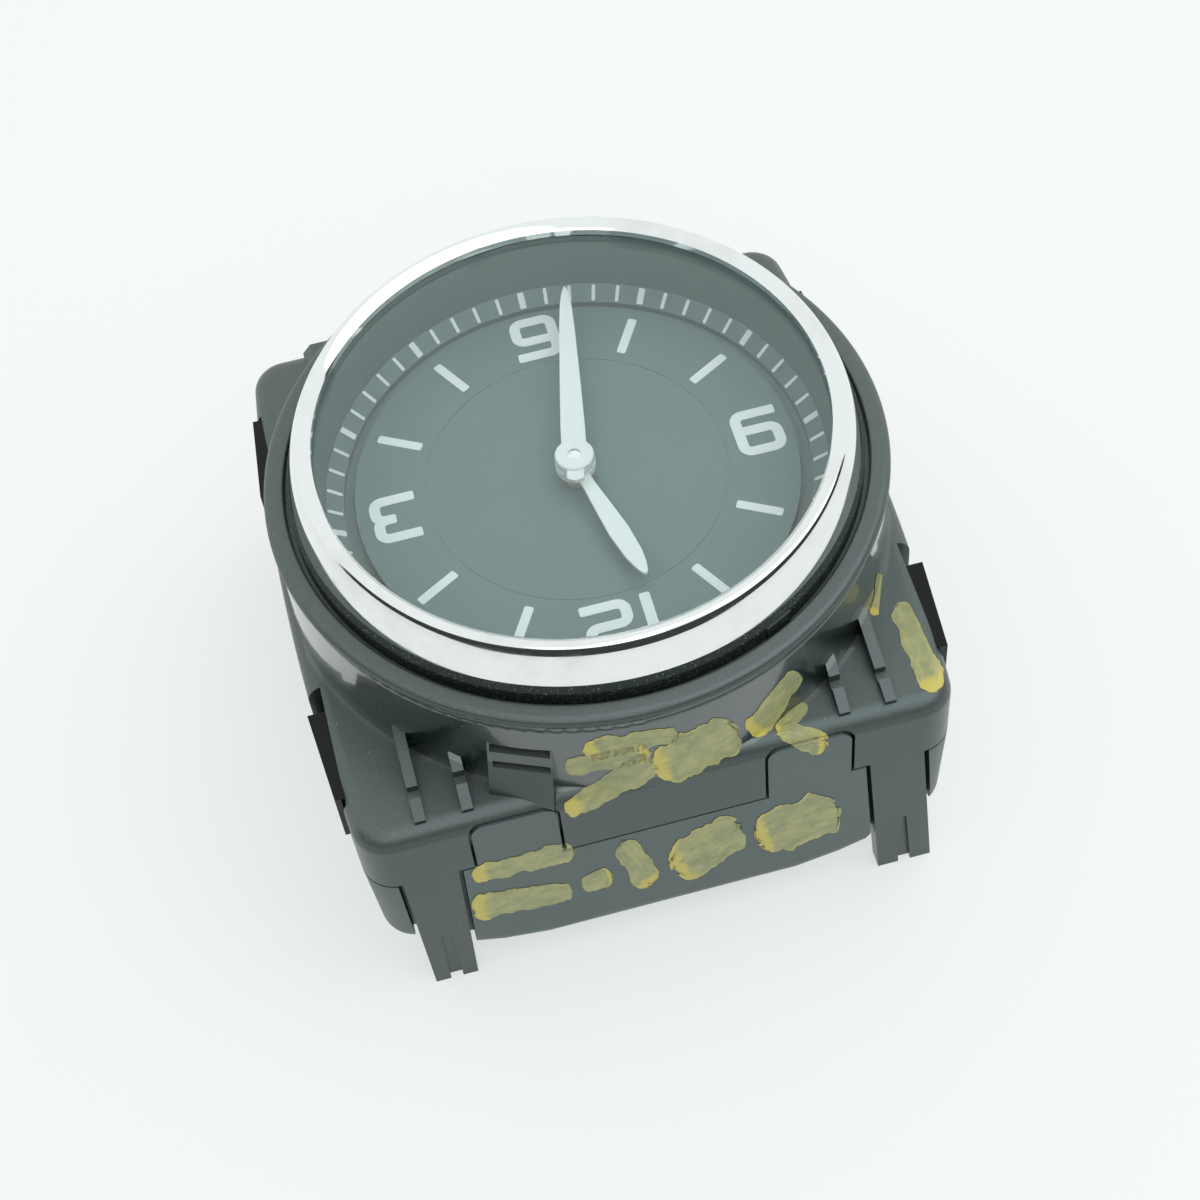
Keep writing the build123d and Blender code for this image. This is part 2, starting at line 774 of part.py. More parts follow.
# The deeper middle of the rear cover, with rounded lower edges
with BuildPart() as cover_foot:
    with BuildSketch(Plane.XZ.offset(-base_front_y)):
        with BuildLine():
            Polyline(*cover_foot_points, close=True)
        make_face()
    extrude(amount=base_front_y + base_back_y)
    for end_edges in (cover_foot.edges().group_by(Axis.Y)[0], cover_foot.edges().group_by(Axis.Y)[-1]):
        fillet([edge for edge in end_edges if edge.center().Z < cover_shell_z - over], cover_foot_edge_r)

with BuildPart() as rear_cover:
    loft(sections=[
        base_outline(cover_draft, 0, base_corner_r, cover_shell_z).face(),
        base_outline(0, 0, base_corner_r, cover_top_z).face(),
    ])
    fillet(rear_cover.edges().group_by(Axis.Z)[0], cover_edge_r)
    add(cover_foot.part)
    add(cover_cavity.part, mode=Mode.SUBTRACT)
    # The edge is lower between the tongues
    middle_half = tongue_x - tongue_w / 2
    block((-middle_half, -base_back_y - over, middle_top_z),
          (middle_half, base_front_y + over, cover_top_z + over), Mode.SUBTRACT)
    for face, reach in base_faces:
        for side in (-1, 1):
            # The tongue, with a small hook on its inner side
            tongue_h = tongue_top_z - middle_seam_z + 2 * tongue_corner_r
            with BuildSketch(Plane.XZ.offset(-face * reach)):
                with Locations((side * tongue_x, tongue_top_z - tongue_h / 2)):
                    RectangleRounded(tongue_w, tongue_h, tongue_corner_r)
            extrude(amount=face * tongue_t)
            hook_y = (face * (reach - base_wall), face * (reach - tongue_t / 2))
            block((side * tongue_x - tongue_hook_w / 2, min(hook_y), hook_low_z),
                  (side * tongue_x + tongue_hook_w / 2, max(hook_y), hook_low_z + tongue_hook_h))
            # The pocket for the leg
            with BuildSketch(Plane.XZ.offset(-face * (reach + over))):
                with BuildLine():
                    Polyline(*leg_points(side, leg_gap, cover_bottom_z, cover_top_z + over), close=True)
                make_face()
            extrude(amount=face * (over + cover_step), mode=Mode.SUBTRACT)
    # Opening for the plug socket, and a bare recess for a label
    block((-header_l / 2 - header_gap, -header_w / 2 - header_gap, cover_bottom_z - over),
          (header_l / 2 + header_gap, header_w / 2 + header_gap, cover_bottom_z + cover_wall + over),
          Mode.SUBTRACT)
    rounded_block((0, label_y), label_l, label_w, label_corner_r, cover_bottom_z - over,
                  cover_bottom_z + label_depth, Mode.SUBTRACT)
    # Ribs on the inner floor
    rib_reach = base_front_y - cover_step - cover_wall / 2
    for rib_place in cover_rib_places:
        block((rib_place - cover_rib_w / 2, -rib_reach, cover_shell_z + cover_wall / 2),
              (rib_place + cover_rib_w / 2, rib_reach, cover_shell_z + cover_wall + cover_rib_h))
save(rear_cover.part, "rear_cover")

# Side clips: a tapered strip on each side near each corner, held by two tabs in the wall
with BuildPart() as side_clips:
    for side in (-1, 1):
        for face in (-1, 1):
            near_y = face * (clip_y - clip_l / 2)
            far_y = face * (clip_y + clip_l / 2)
            with BuildSketch(Plane.XY.offset(clip_top_z - clip_h)):
                with BuildLine():
                    Polyline(
                        (side * clip_floor_x, near_y),
                        (side * clip_thick_x, near_y),
                        (side * clip_thin_x, far_y),
                        (side * clip_floor_x, far_y),
                        close=True,
                    )
                make_face()
            extrude(amount=clip_h)
            for share in clip_tab_shares:
                tab_y = face * clip_y + share * clip_l
                tab_z = clip_top_z - clip_h / 2
                tab_x = (side * (clip_floor_x - base_wall), side * clip_floor_x)
                block((min(tab_x), tab_y - clip_tab_l / 2, tab_z - clip_tab_h / 2),
                      (max(tab_x), tab_y + clip_tab_l / 2, tab_z + clip_tab_h / 2))
save(side_clips.part, "side_clips")

# Chrome bezel, with a skirt that grips the neck of the housing
with BuildPart() as chrome_bezel:
    with BuildSketch(Plane.XZ):
        with BuildLine():
            Polyline(
                (bezel_side_r, dial_z + bezel_side_rise),
                (bezel_foot_r, dial_z + bezel_foot_rise),
                (skirt_out_r, dial_z + bezel_foot_rise),
                (skirt_out_r, dial_z + skirt_foot_rise),
                (skirt_r, dial_z + skirt_foot_rise),
                (skirt_r, dial_z + bezel_lip_rise),
                (bezel_inner_r, dial_z + bezel_lip_rise),
                (bezel_inner_r, dial_z + bezel_inner_rise),
            )
            Spline(
                (bezel_inner_r, dial_z + bezel_inner_rise),
                (bezel_crest_r, dial_z + bezel_crest_rise),
                (bezel_shoulder_r, dial_z + bezel_shoulder_rise),
                (bezel_side_r, dial_z + bezel_side_rise),
                tangents=((1, 1), (bezel_foot_r - bezel_side_r, bezel_foot_rise - bezel_side_rise)),
            )
        make_face()
    revolve(axis=Axis.Z)
save(chrome_bezel.part, "chrome_bezel")

# Soft gasket ring below the bezel, with the overlap where its strip ends meet
with BuildPart() as bezel_gasket:
    gasket_in_r = skirt_out_r + skirt_gap
    turned((
        (gasket_in_r, seat_z),
        (gasket_r, seat_z),
        (gasket_r, dial_z + gasket_shoulder_rise),
        (bezel_foot_r, dial_z + bezel_foot_rise),
        (gasket_in_r, dial_z + bezel_foot_rise),
    ))
    with BuildSketch(Plane.XY.offset(seat_z)):
        with Locations(Rotation(0, 0, gasket_seam_angle)):
            with Locations((gasket_r - gasket_seam_t, 0)):
                Rectangle(gasket_seam_t * 4, gasket_seam_w)
    extrude(amount=gasket_shoulder_rise - seat_rise)
    gasket_cut_r = gasket_r + gasket_seam_t
    with BuildSketch(Plane.XY.offset(seat_z)):
        Circle(gasket_r * 2)
        Circle(gasket_cut_r, mode=Mode.SUBTRACT)
    extrude(amount=bezel_foot_rise, mode=Mode.SUBTRACT)
save(bezel_gasket.part, "bezel_gasket")

# Clear lens under the bezel
with BuildPart() as lens:
    disc(centre, lens_r, dial_z + neck_top_rise, dial_z + neck_top_rise + lens_t)
save(lens.part, "lens")

# Shroud: the flared black wall between the minute ring and the lens
shroud_out_r = neck_bore_r - ring_clear
with BuildPart() as dial_shroud:
    turned((
        (shroud_foot_r, dial_z + track_out_rise),
        (shroud_out_r, dial_z + track_out_rise),
        (shroud_out_r, dial_z + neck_top_rise),
        (shroud_top_r, dial_z + neck_top_rise),
    ))
save(dial_shroud.part, "dial_shroud")

# Minute ring: the sloping track round the dial
with BuildPart() as minute_ring:
    turned((
        (ring_floor_r, ring_bottom_z),
        (shroud_out_r, ring_bottom_z),
        (shroud_out_r, dial_z + track_out_rise),
        (track_out_r, dial_z + track_out_rise),
        (track_in_r, dial_z + track_in_rise),
        (track_in_r, dial_z + ring_floor_rise),
        (ring_floor_r, dial_z + ring_floor_rise),
    ))
save(minute_ring.part, "minute_ring")

# Dial plate, with a fine line scribed round its middle
with BuildPart() as dial_plate:
    disc(centre, dial_r, guide_top_z, dial_z)
    disc(centre, dial_hole_r, guide_top_z, dial_z, Mode.SUBTRACT)
    with BuildSketch(Plane.XY.offset(dial_z - dial_line_depth)):
        Circle(dial_line_r + dial_line_w / 2)
        Circle(dial_line_r - dial_line_w / 2, mode=Mode.SUBTRACT)
    extrude(amount=over, mode=Mode.SUBTRACT)
save(dial_plate.part, "dial_plate")

# Light guide: a clear disc whose legs reach down to the lamps on the board
with BuildPart() as light_guide:
    disc(centre, guide_r, guide_z, guide_top_z)
    for angle in guide_leg_angles:
        with BuildSketch(Plane.XY.offset(board_top_z + led_t + led_gap)):
            with Locations(Location((*polar(guide_leg_at_r, angle), 0), (0, 0, angle))):
                Rectangle(guide_leg_t, guide_leg_w)
        extrude(until=Until.NEXT)
    disc(centre, guide_hole_r, guide_z, guide_top_z, Mode.SUBTRACT)
save(light_guide.part, "light_guide")

# Light box: the white tray that holds the guide, on a round wall that stands on the board
with BuildPart() as light_box:
    turned((
        (guide_hole_r, tray_z),
        (box_r - box_wall, tray_z),
        (box_r - box_wall, board_top_z),
        (box_r, board_top_z),
        (box_r, ring_bottom_z),
        (box_rim_bore_r, ring_bottom_z),
        (box_rim_bore_r, guide_z),
        (guide_hole_r, guide_z),
    ))
    for angle in guide_leg_angles:
        with BuildSketch(Plane.XY.offset(tray_z)):
            with Locations(Location((*polar(guide_leg_at_r, angle), 0), (0, 0, angle))):
                Rectangle(guide_leg_t + 2 * guide_leg_clear, guide_leg_w + 2 * guide_leg_clear)
        extrude(amount=box_floor_t, mode=Mode.SUBTRACT)
save(light_box.part, "light_box")

# Circuit board, with holes for its screws, the header pins and the movement
pin_places = [((index - (pin_count - 1) / 2) * pin_pitch, 0) for index in range(pin_count)]
movement_screw_places = (*pillar_places, foot_place)
coil_pin_y = rotor_at[1] - coil_drop
coil_pin_places = [(rotor_at[0] + side * coil_pin_spread, coil_pin_y) for side in (-1, 1)]
with BuildPart() as circuit_board:
    rounded_block(centre, 2 * board_half_x, 2 * board_half_y, board_corner_r, board_z, board_top_z)
    for x_side in (-1, 1):
        for y_side in (-1, 1):
            hole_at = (x_side * board_screw_x, y_side * board_screw_y)
            disc(hole_at, screw_r + screw_clear, board_z, board_top_z, Mode.SUBTRACT)
    for place in movement_screw_places:
        disc(place, small_screw_r + screw_clear, board_z, board_top_z, Mode.SUBTRACT)
    for place in (*pin_places, *coil_pin_places):
        disc(place, pin_w, board_z, board_top_z, Mode.SUBTRACT)
save(circuit_board.part, "circuit_board")

with BuildPart() as board_screws:
    for x_side in (-1, 1):
        for y_side in (-1, 1):
            screw((x_side * board_screw_x, y_side * board_screw_y), board_z, screw_r, screw_head_r,
                  screw_head_h, board_t + screw_bite, True)
save(board_screws.part, "board_screws")

# Plug socket on the back of the board, and its pins
with BuildPart() as connector_header:
    rounded_block(centre, header_l, header_w, header_wall / 2, cover_bottom_z, board_z)
    rounded_block(centre, header_l - 2 * header_wall, header_w - 2 * header_wall, header_wall / 2,
                  cover_bottom_z, cover_bottom_z + header_depth, Mode.SUBTRACT)
    for place in pin_places:
        block((place[0] - pin_w / 2, place[1] - pin_w / 2, cover_bottom_z + header_depth),
              (place[0] + pin_w / 2, place[1] + pin_w / 2, board_z), Mode.SUBTRACT)
save(connector_header.part, "connector_header")

with BuildPart() as connector_pins:
    for place in pin_places:
        block((place[0] - pin_w / 2, place[1] - pin_w / 2, cover_bottom_z + header_depth - pin_reach),
              (place[0] + pin_w / 2, place[1] + pin_w / 2, board_top_z - pin_tail / 2))
save(connector_pins.part, "connector_pins")

# Control chip with its leads, on the back of the board
with BuildPart() as control_chip:
    rounded_block(chip_at, chip_w, chip_w, chip_lead_w, board_z - chip_t, board_z - chip_lead_t / 2)
    for index in range(chip_lead_count):
        along = (index - (chip_lead_count - 1) / 2) * chip_lead_pitch
        reach = chip_w / 2 + chip_lead_out
        block((chip_at[0] + along - chip_lead_w / 2, chip_at[1] - reach, board_z - chip_lead_t),
              (chip_at[0] + along + chip_lead_w / 2, chip_at[1] + reach, board_z))
        block((chip_at[0] - reach, chip_at[1] + along - chip_lead_w / 2, board_z - chip_lead_t),
              (chip_at[0] + reach, chip_at[1] + along + chip_lead_w / 2, board_z))
save(control_chip.part, "control_chip")

with BuildPart() as bus_driver:
    rounded_block(driver_at, driver_l, driver_w, chip_lead_w, board_z - driver_t, board_z)
save(bus_driver.part, "bus_driver")

with BuildPart() as voltage_regulator:
    rounded_block(regulator_at, regulator_l, regulator_w, chip_lead_w, board_z - regulator_t, board_z)
    rounded_block((regulator_at[0], regulator_at[1] + regulator_w / 2), regulator_l - regulator_tab,
                  2 * regulator_tab, chip_lead_w, board_z - regulator_tab_t, board_z)
save(voltage_regulator.part, "voltage_regulator")

with BuildPart() as filter_capacitors:
    for place in capacitor_places:
        rounded_block(place, capacitor_base_w, capacitor_base_w, chip_lead_w,
                      board_z - capacitor_base_t, board_z)
        disc(place, capacitor_r, board_z - capacitor_h, board_z - capacitor_base_t)
save(filter_capacitors.part, "filter_capacitors")

with BuildPart() as quartz_crystal:
    rounded_block(crystal_at, crystal_l, crystal_w, crystal_w / 3, board_z - crystal_h, board_z)
save(quartz_crystal.part, "quartz_crystal")

with BuildPart() as chip_resistors:
    for column in range(resistor_columns):
        for row in range(resistor_rows):
            place = (resistor_at[0] + (column - (resistor_columns - 1) / 2) * resistor_pitch_x,
                     resistor_at[1] + (row - (resistor_rows - 1) / 2) * resistor_pitch_y)
            block((place[0] - resistor_l / 2, place[1] - resistor_w / 2, board_z - resistor_h),
                  (place[0] + resistor_l / 2, place[1] + resistor_w / 2, board_z))
save(chip_resistors.part, "chip_resistors")

# Lamps on the front of the board, one under each leg of the light guide
with BuildPart() as dial_lamps:
    for angle in guide_leg_angles:
        with BuildSketch(Plane.XY.offset(board_top_z)):
            with Locations(Location((*polar(guide_leg_at_r, angle), 0), (0, 0, angle))):
                Rectangle(led_w, led_l)
        extrude(amount=led_t)
save(dial_lamps.part, "dial_lamps")

# Movement base: the floor, the rim and the bosses and pillars that carry the train and the motor
case_at = (case_x, case_y)
stator_screw_places = [(rotor_at[0] + side * screw_spread, rotor_at[1] - coil_drop) for side in (-1, 1)]
boss_top_z = floor_z + boss_h
with BuildPart() as movement_base:
    rounded_block(case_at, case_l, case_w, case_corner_r, board_top_z, case_top_z)
    rounded_block(case_at, case_l - 2 * case_wall, case_w - 2 * case_wall, case_corner_r - case_wall,
                  floor_z, case_top_z, Mode.SUBTRACT)
    for place in (third_at, second_at, rotor_at):
        disc(place, boss_r, floor_z, boss_top_z)
        disc(place, pivot_r + pivot_clear, floor_z, boss_top_z, Mode.SUBTRACT)
    disc(centre, hub_r, floor_z, boss_top_z)
    disc(centre, centre_arbor_r + centre_clear, floor_z, boss_top_z, Mode.SUBTRACT)
    for place in pillar_places:
        disc(place, pillar_r, floor_z, bridge_z)
        disc(place, small_screw_r + screw_clear, bridge_z - small_bite - over, bridge_z, Mode.SUBTRACT)
    disc(foot_place, pillar_r, floor_z, floor_z + foot_h)
    for place in movement_screw_places:
        disc(place, small_screw_r + screw_clear, board_top_z, board_top_z + small_bite, Mode.SUBTRACT)
    for place in stator_screw_places:
        disc(place, pillar_r, floor_z, stator_z)
        disc(place, small_screw_r + screw_clear, floor_z, stator_z, Mode.SUBTRACT)
    for place in coil_pin_places:
        disc(place, pin_w, board_top_z, floor_z, Mode.SUBTRACT)
save(movement_base.part, "movement_base")

with BuildPart() as movement_screws:
    for place in movement_screw_places:
        screw(place, board_z, small_screw_r, small_head_r, small_head_h,
              board_t + small_bite - screw_clear, True)
save(movement_screws.part, "movement_screws")

# Movement cap: the lid with the upper pivot holes and the neck that carries the hour pipe
with BuildPart() as movement_cap:
    rounded_block(case_at, case_l, case_w, case_corner_r, case_top_z, cap_top_z)
    disc(centre, neck_out_r, case_top_z, cap_top_z + neck_reach)
    disc(centre, pipe_r + pipe_clear, case_top_z, cap_top_z + neck_reach, Mode.SUBTRACT)
    for place in (third_at, second_at, rotor_at, motion_at):
        disc(place, pivot_r + pivot_clear, case_top_z, cap_top_z, Mode.SUBTRACT)
save(movement_cap.part, "movement_cap")

# Centre bridge: carries the centre arbor and the lower pivot of the motion wheel
with BuildPart() as centre_bridge:
    disc(centre, bridge_w / 2, bridge_z, bridge_z + bridge_t)
    disc(motion_at, bridge_w / 2, bridge_z, bridge_z + bridge_t)
    for place in pillar_places:
        disc(place, bridge_arm_w / 2, bridge_z, bridge_z + bridge_t)
        for inner in (centre, motion_at):
            run = (place[0] - inner[0], place[1] - inner[1])
            length = math.hypot(*run)
            with BuildSketch(Plane.XY.offset(bridge_z)):
                with Locations(Location(((place[0] + inner[0]) / 2, (place[1] + inner[1]) / 2, 0),
                                        (0, 0, math.degrees(math.atan2(run[1], run[0]))))):
                    Rectangle(length, bridge_arm_w)
            extrude(amount=bridge_t)
    for place in pillar_places:
        disc(place, small_screw_r + screw_clear, bridge_z, bridge_z + bridge_t, Mode.SUBTRACT)
    disc(centre, centre_arbor_r + centre_clear, bridge_z, bridge_z + bridge_t, Mode.SUBTRACT)
    disc(motion_at, pivot_r + pivot_clear, bridge_z, bridge_z + bridge_t, Mode.SUBTRACT)
save(centre_bridge.part, "centre_bridge")

with BuildPart() as bridge_screws:
    for place in pillar_places:
        screw(place, bridge_z + bridge_t, small_screw_r, small_head_r, small_head_h,
              bridge_t + small_bite, False)
save(bridge_screws.part, "bridge_screws")

# Stator: a flat ring round the magnet with a bent arm to each end of the coil core
with BuildPart() as stator_plate:
    disc(rotor_at, stator_ring_r, stator_z, stator_z + stator_t)
    arm_y = rotor_at[1] - stator_arm_w / 2
    for place in stator_screw_places:
        block((min(rotor_at[0], place[0]), arm_y - stator_arm_w / 2, stator_z),
              (max(rotor_at[0], place[0]), arm_y + stator_arm_w / 2, stator_z + stator_t))
        block((place[0] - stator_arm_w / 2, place[1], stator_z),
              (place[0] + stator_arm_w / 2, arm_y, stator_z + stator_t))
        for end in (place, (place[0], arm_y)):
            disc(end, stator_arm_w / 2, stator_z, stator_z + stator_t)
    disc(rotor_at, magnet_r + air_gap, stator_z, stator_z + stator_t, Mode.SUBTRACT)
    for notch_angle in (45, 225):
        disc(moved(rotor_at, magnet_r + air_gap, notch_angle), pole_notch_r, stator_z, stator_z + stator_t,
             Mode.SUBTRACT)
    for place in stator_screw_places:
        disc(place, small_screw_r + screw_clear, stator_z, stator_z + stator_t, Mode.SUBTRACT)
save(stator_plate.part, "stator_plate")

with BuildPart() as coil_core:
    core_l = 2 * screw_spread + core_w
    rounded_block((rotor_at[0], coil_pin_y), core_l, core_w, core_w / 3, core_z, core_z + core_t)
    for place in stator_screw_places:
        disc(place, small_screw_r + screw_clear, core_z, core_z + core_t, Mode.SUBTRACT)
save(coil_core.part, "coil_core")

coil_end = (rotor_at[0] - coil_half_l, coil_pin_y, coil_axis_z)
coil_plane = Plane(origin=coil_end, x_dir=(0, 1, 0), z_dir=(1, 0, 0))
with BuildPart() as coil_bobbin:
    for start, end, radius in (
        (0, bobbin_flange_t, bobbin_flange_r),
        (0, 2 * coil_half_l, bobbin_tube_r),
        (2 * coil_half_l - bobbin_flange_t, 2 * coil_half_l, bobbin_flange_r),
    ):
        with BuildSketch(coil_plane.offset(start)):
            Circle(radius)
        extrude(amount=end - start)
    with BuildSketch(coil_plane):
        Rectangle(core_w + core_gap, core_t + core_gap)
    extrude(amount=2 * coil_half_l, mode=Mode.SUBTRACT)
save(coil_bobbin.part, "coil_bobbin")

with BuildPart() as coil_winding:
    with BuildSketch(coil_plane.offset(bobbin_flange_t)):
        Circle(winding_r)
        Circle(bobbin_tube_r, mode=Mode.SUBTRACT)
    extrude(amount=2 * (coil_half_l - bobbin_flange_t))
save(coil_winding.part, "coil_winding")

with BuildPart() as coil_pins:
    for place in coil_pin_places:
        block((place[0] - coil_pin_w / 2, place[1] - coil_pin_w / 2, board_z),
              (place[0] + coil_pin_w / 2, place[1] + coil_pin_w / 2, coil_axis_z - winding_r))
save(coil_pins.part, "coil_pins")

with BuildPart() as stator_screws:
    for place in stator_screw_places:
        screw(place, core_z + core_t, small_screw_r, small_head_r, small_head_h,
              core_t + stator_t + stator_rise - screw_clear, False)
save(stator_screws.part, "stator_screws")

# Rotor: a ring magnet on an arbor with a pinion
arbor_low_z = boss_top_z + end_shake
arbor_high_z = case_top_z - end_shake
with BuildPart() as rotor_magnet:
    magnet_z = stator_z + stator_t / 2 - magnet_t / 2
    disc(rotor_at, magnet_r, magnet_z, magnet_z + magnet_t)
    disc(rotor_at, magnet_hub_r, magnet_z, magnet_z + magnet_t, Mode.SUBTRACT)
save(rotor_magnet.part, "rotor_magnet")

with BuildPart() as rotor_pinion:
    gear(rotor_teeth, train_module, rotor_phase, rotor_at, second_z - gear_gap / 2, gear_t + gear_gap)
    disc(rotor_at, magnet_hub_r, arbor_low_z, arbor_high_z)
    disc(rotor_at, pivot_r, arbor_low_z - pivot_l, arbor_high_z + pivot_l)
save(rotor_pinion.part, "rotor_pinion")

# Second and third wheels, each with its pinion and arbor in one piece
with BuildPart() as second_wheel:
    gear(second_teeth, train_module, second_phase, second_at, second_z, gear_t)
    spoke_windows(second_at, second_teeth * train_module / 2, second_z, second_z + gear_t)
    gear(second_pinion_teeth, train_module, second_phase, second_at, second_z + gear_t, level_step)
    disc(second_at, arbor_r, arbor_low_z, arbor_high_z)
    disc(second_at, pivot_r, arbor_low_z - pivot_l, arbor_high_z + pivot_l)
save(second_wheel.part, "second_wheel")

with BuildPart() as third_wheel:
    gear(third_teeth, train_module, third_phase, third_at, third_z, gear_t)
    spoke_windows(third_at, third_teeth * train_module / 2, third_z, third_z + gear_t)
    gear(third_pinion_teeth, train_module, third_phase, third_at, third_z + gear_t, level_step)
    disc(third_at, arbor_r, arbor_low_z, arbor_high_z)
    disc(third_at, pivot_r, arbor_low_z - pivot_l, arbor_high_z + pivot_l)
save(third_wheel.part, "third_wheel")

# Minute wheel, pressed on the centre arbor
minute_hub_low_z = minute_z - gear_t
with BuildPart() as minute_wheel:
    gear(minute_teeth, train_module, 0.0, centre, minute_z, gear_t)
    spoke_windows(centre, minute_teeth * train_module / 2, minute_z, minute_z + gear_t)
    disc(centre, hub_r, minute_hub_low_z, minute_z + gear_t)
    disc(centre, centre_arbor_r, minute_hub_low_z, minute_z + gear_t, Mode.SUBTRACT)
save(minute_wheel.part, "minute_wheel")

# Centre arbor with the cannon pinion; it carries the minute hand
minute_boss_top_z = dial_z + minute_hand_rise + minute_boss_h
with BuildPart() as centre_arbor:
    disc(centre, centre_arbor_r, floor_z + end_shake, minute_boss_top_z - arbor_sink)
    gear(cannon_teeth, motion_module, 0.0, centre, motion_z - gear_gap / 4, gear_t + gear_gap / 2)
save(centre_arbor.part, "centre_arbor")

# Motion wheel and pinion, between the centre bridge and the cap
with BuildPart() as motion_wheel:
    gear(motion_teeth, motion_module, motion_phase, motion_at, motion_z, gear_t)
    gear(motion_pinion_teeth, hour_module, motion_phase, motion_at, motion_z + gear_t, level_step)
    disc(motion_at, arbor_r, bridge_z + bridge_t + end_shake, arbor_high_z)
    disc(motion_at, pivot_r, bridge_z + end_shake, arbor_high_z + pivot_l)
save(motion_wheel.part, "motion_wheel")

# Hour wheel with the pipe that carries the hour hand
hour_boss_top_z = dial_z + hour_hand_rise + hour_boss_h
with BuildPart() as hour_wheel:
    gear(hour_teeth, hour_module, hour_phase, centre, hour_z, gear_t)
    disc(centre, pipe_r, hour_z, hour_boss_top_z - arbor_sink)
    disc(centre, centre_arbor_r + pipe_clear, hour_z, hour_boss_top_z - arbor_sink, Mode.SUBTRACT)
save(hour_wheel.part, "hour_wheel")


def blade(shares, half, length, angle, bottom_z, thickness):
    """Adds a hand's blade, pointing away from the axis at an angle from twelve o'clock."""
    right = [(half * wide, length * along) for along, wide in shares]
    left = [(-across, along) for across, along in reversed(right)]
    turned_plane = Plane(origin=(0, 0, bottom_z), x_dir=(*polar(1, angle), 0), z_dir=(0, 0, 1))
    with BuildSketch(turned_plane) as outline:
        with BuildLine():
            Polyline(*right, (0, length), *left, close=True)
        make_face()
    extrude(outline.sketch, amount=thickness)


with BuildPart() as hour_hand:
    hour_boss_z = dial_z + hour_hand_rise
    blade(hour_blade_shares, hour_blade_half, hour_hand_l, hour_hand_angle, hour_boss_z + hand_rise_in_boss,
          hour_blade_t)
    disc(centre, hour_boss_r, hour_boss_z, hour_boss_top_z)
    disc(centre, pipe_r, hour_boss_z, hour_boss_top_z, Mode.SUBTRACT)
save(hour_hand.part, "hour_hand")

with BuildPart() as minute_hand:
    minute_boss_z = dial_z + minute_hand_rise
    blade_z = minute_boss_z + hand_rise_in_boss
    blade(minute_blade_shares, minute_blade_half, minute_hand_l, minute_hand_angle, blade_z, minute_blade_t)
    blade(minute_tail_shares, minute_tail_half, minute_tail_l, minute_hand_angle + 180,
          blade_z, minute_blade_t)
    disc(centre, minute_boss_r, minute_boss_z, minute_boss_top_z)
    fillet(minute_hand.edges().group_by(Axis.Z)[-1], hand_rise_in_boss)
    disc(centre, centre_arbor_r, minute_boss_z, minute_boss_top_z, Mode.SUBTRACT)
save(minute_hand.part, "minute_hand")
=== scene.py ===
"""Looks of a car dashboard clock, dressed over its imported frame. Lengths are in metres."""
import json
import math

import bmesh
import bpy
from mathutils import Matrix, Quaternion, Vector, noise
from mathutils.bvhtree import BVHTree


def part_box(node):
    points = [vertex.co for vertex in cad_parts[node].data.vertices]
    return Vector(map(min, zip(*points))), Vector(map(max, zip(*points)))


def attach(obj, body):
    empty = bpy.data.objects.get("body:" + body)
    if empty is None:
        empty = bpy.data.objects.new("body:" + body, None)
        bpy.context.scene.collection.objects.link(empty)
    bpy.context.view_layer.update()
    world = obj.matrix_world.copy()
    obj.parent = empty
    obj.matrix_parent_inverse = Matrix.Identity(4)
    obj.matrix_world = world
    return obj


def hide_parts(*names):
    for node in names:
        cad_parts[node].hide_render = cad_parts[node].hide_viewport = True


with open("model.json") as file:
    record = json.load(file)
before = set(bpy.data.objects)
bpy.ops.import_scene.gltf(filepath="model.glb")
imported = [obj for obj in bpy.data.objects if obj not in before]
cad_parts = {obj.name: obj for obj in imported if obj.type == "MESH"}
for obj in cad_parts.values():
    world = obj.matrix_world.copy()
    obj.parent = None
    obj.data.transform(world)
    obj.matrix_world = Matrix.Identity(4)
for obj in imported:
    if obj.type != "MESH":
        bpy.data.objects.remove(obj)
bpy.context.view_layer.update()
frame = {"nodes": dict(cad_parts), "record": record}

MM = 0.001
CASE = "clock_case"
NODES = frame["nodes"]

# The photograph's camera, fitted to the dial circles and the square base
CAMERA_PLACE = Vector((23.24, 164.46, 254.52)) * MM
CAMERA_TARGET = Vector((1.70, 17.39, 43.50)) * MM
CAMERA_ROLL = math.radians(7.17)
CAMERA_ANGLE = math.radians(28.76)
CAMERA_LOOK = (CAMERA_TARGET - CAMERA_PLACE).to_track_quat("-Z", "Y")
CAMERA_TURN = CAMERA_LOOK @ Quaternion((0, 0, 1), -CAMERA_ROLL)
NEAREST_SEEN = 0.01
PHOTO_SIZE = 1200

# Light from the pale surround, as a share of what it shows to the camera
SURROUND_TONE = (0.94, 0.985, 0.98)
SOFT_LIGHT = 0.86
THROUGH_LENS_LIGHT = 0.50

# Soft square lamps that point at the clock
LAMP_TARGET = (0.0, 0.0, 0.03)
LAMPS = {
    "key_lamp": {"place": (-0.42, 0.16, 0.80), "size": 0.9, "power": 2.6},
    "front_lamp": {"place": (0.10, 0.75, 0.70), "size": 0.7, "power": 1.0},
}

# The floor, and how much of its shadow the camera loses against the pale ground
FLOOR_REACH = 3.0
FLOOR_GLOW = (0.955, 0.985, 0.98)
FLOOR_PALENESS = 0.62

# Dark side of the room: degrees from three o'clock towards twelve, and metres
DARK_SIDE = {"from": -10, "to": 190, "away": 0.90, "foot": 0.05, "top": 0.55, "splits": 24}

# Depth of the scratches on bare metal
SCRATCH_DEPTH = 0.002 * MM

# Level of the dial's face
DIAL_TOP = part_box("dial_plate")[1].z

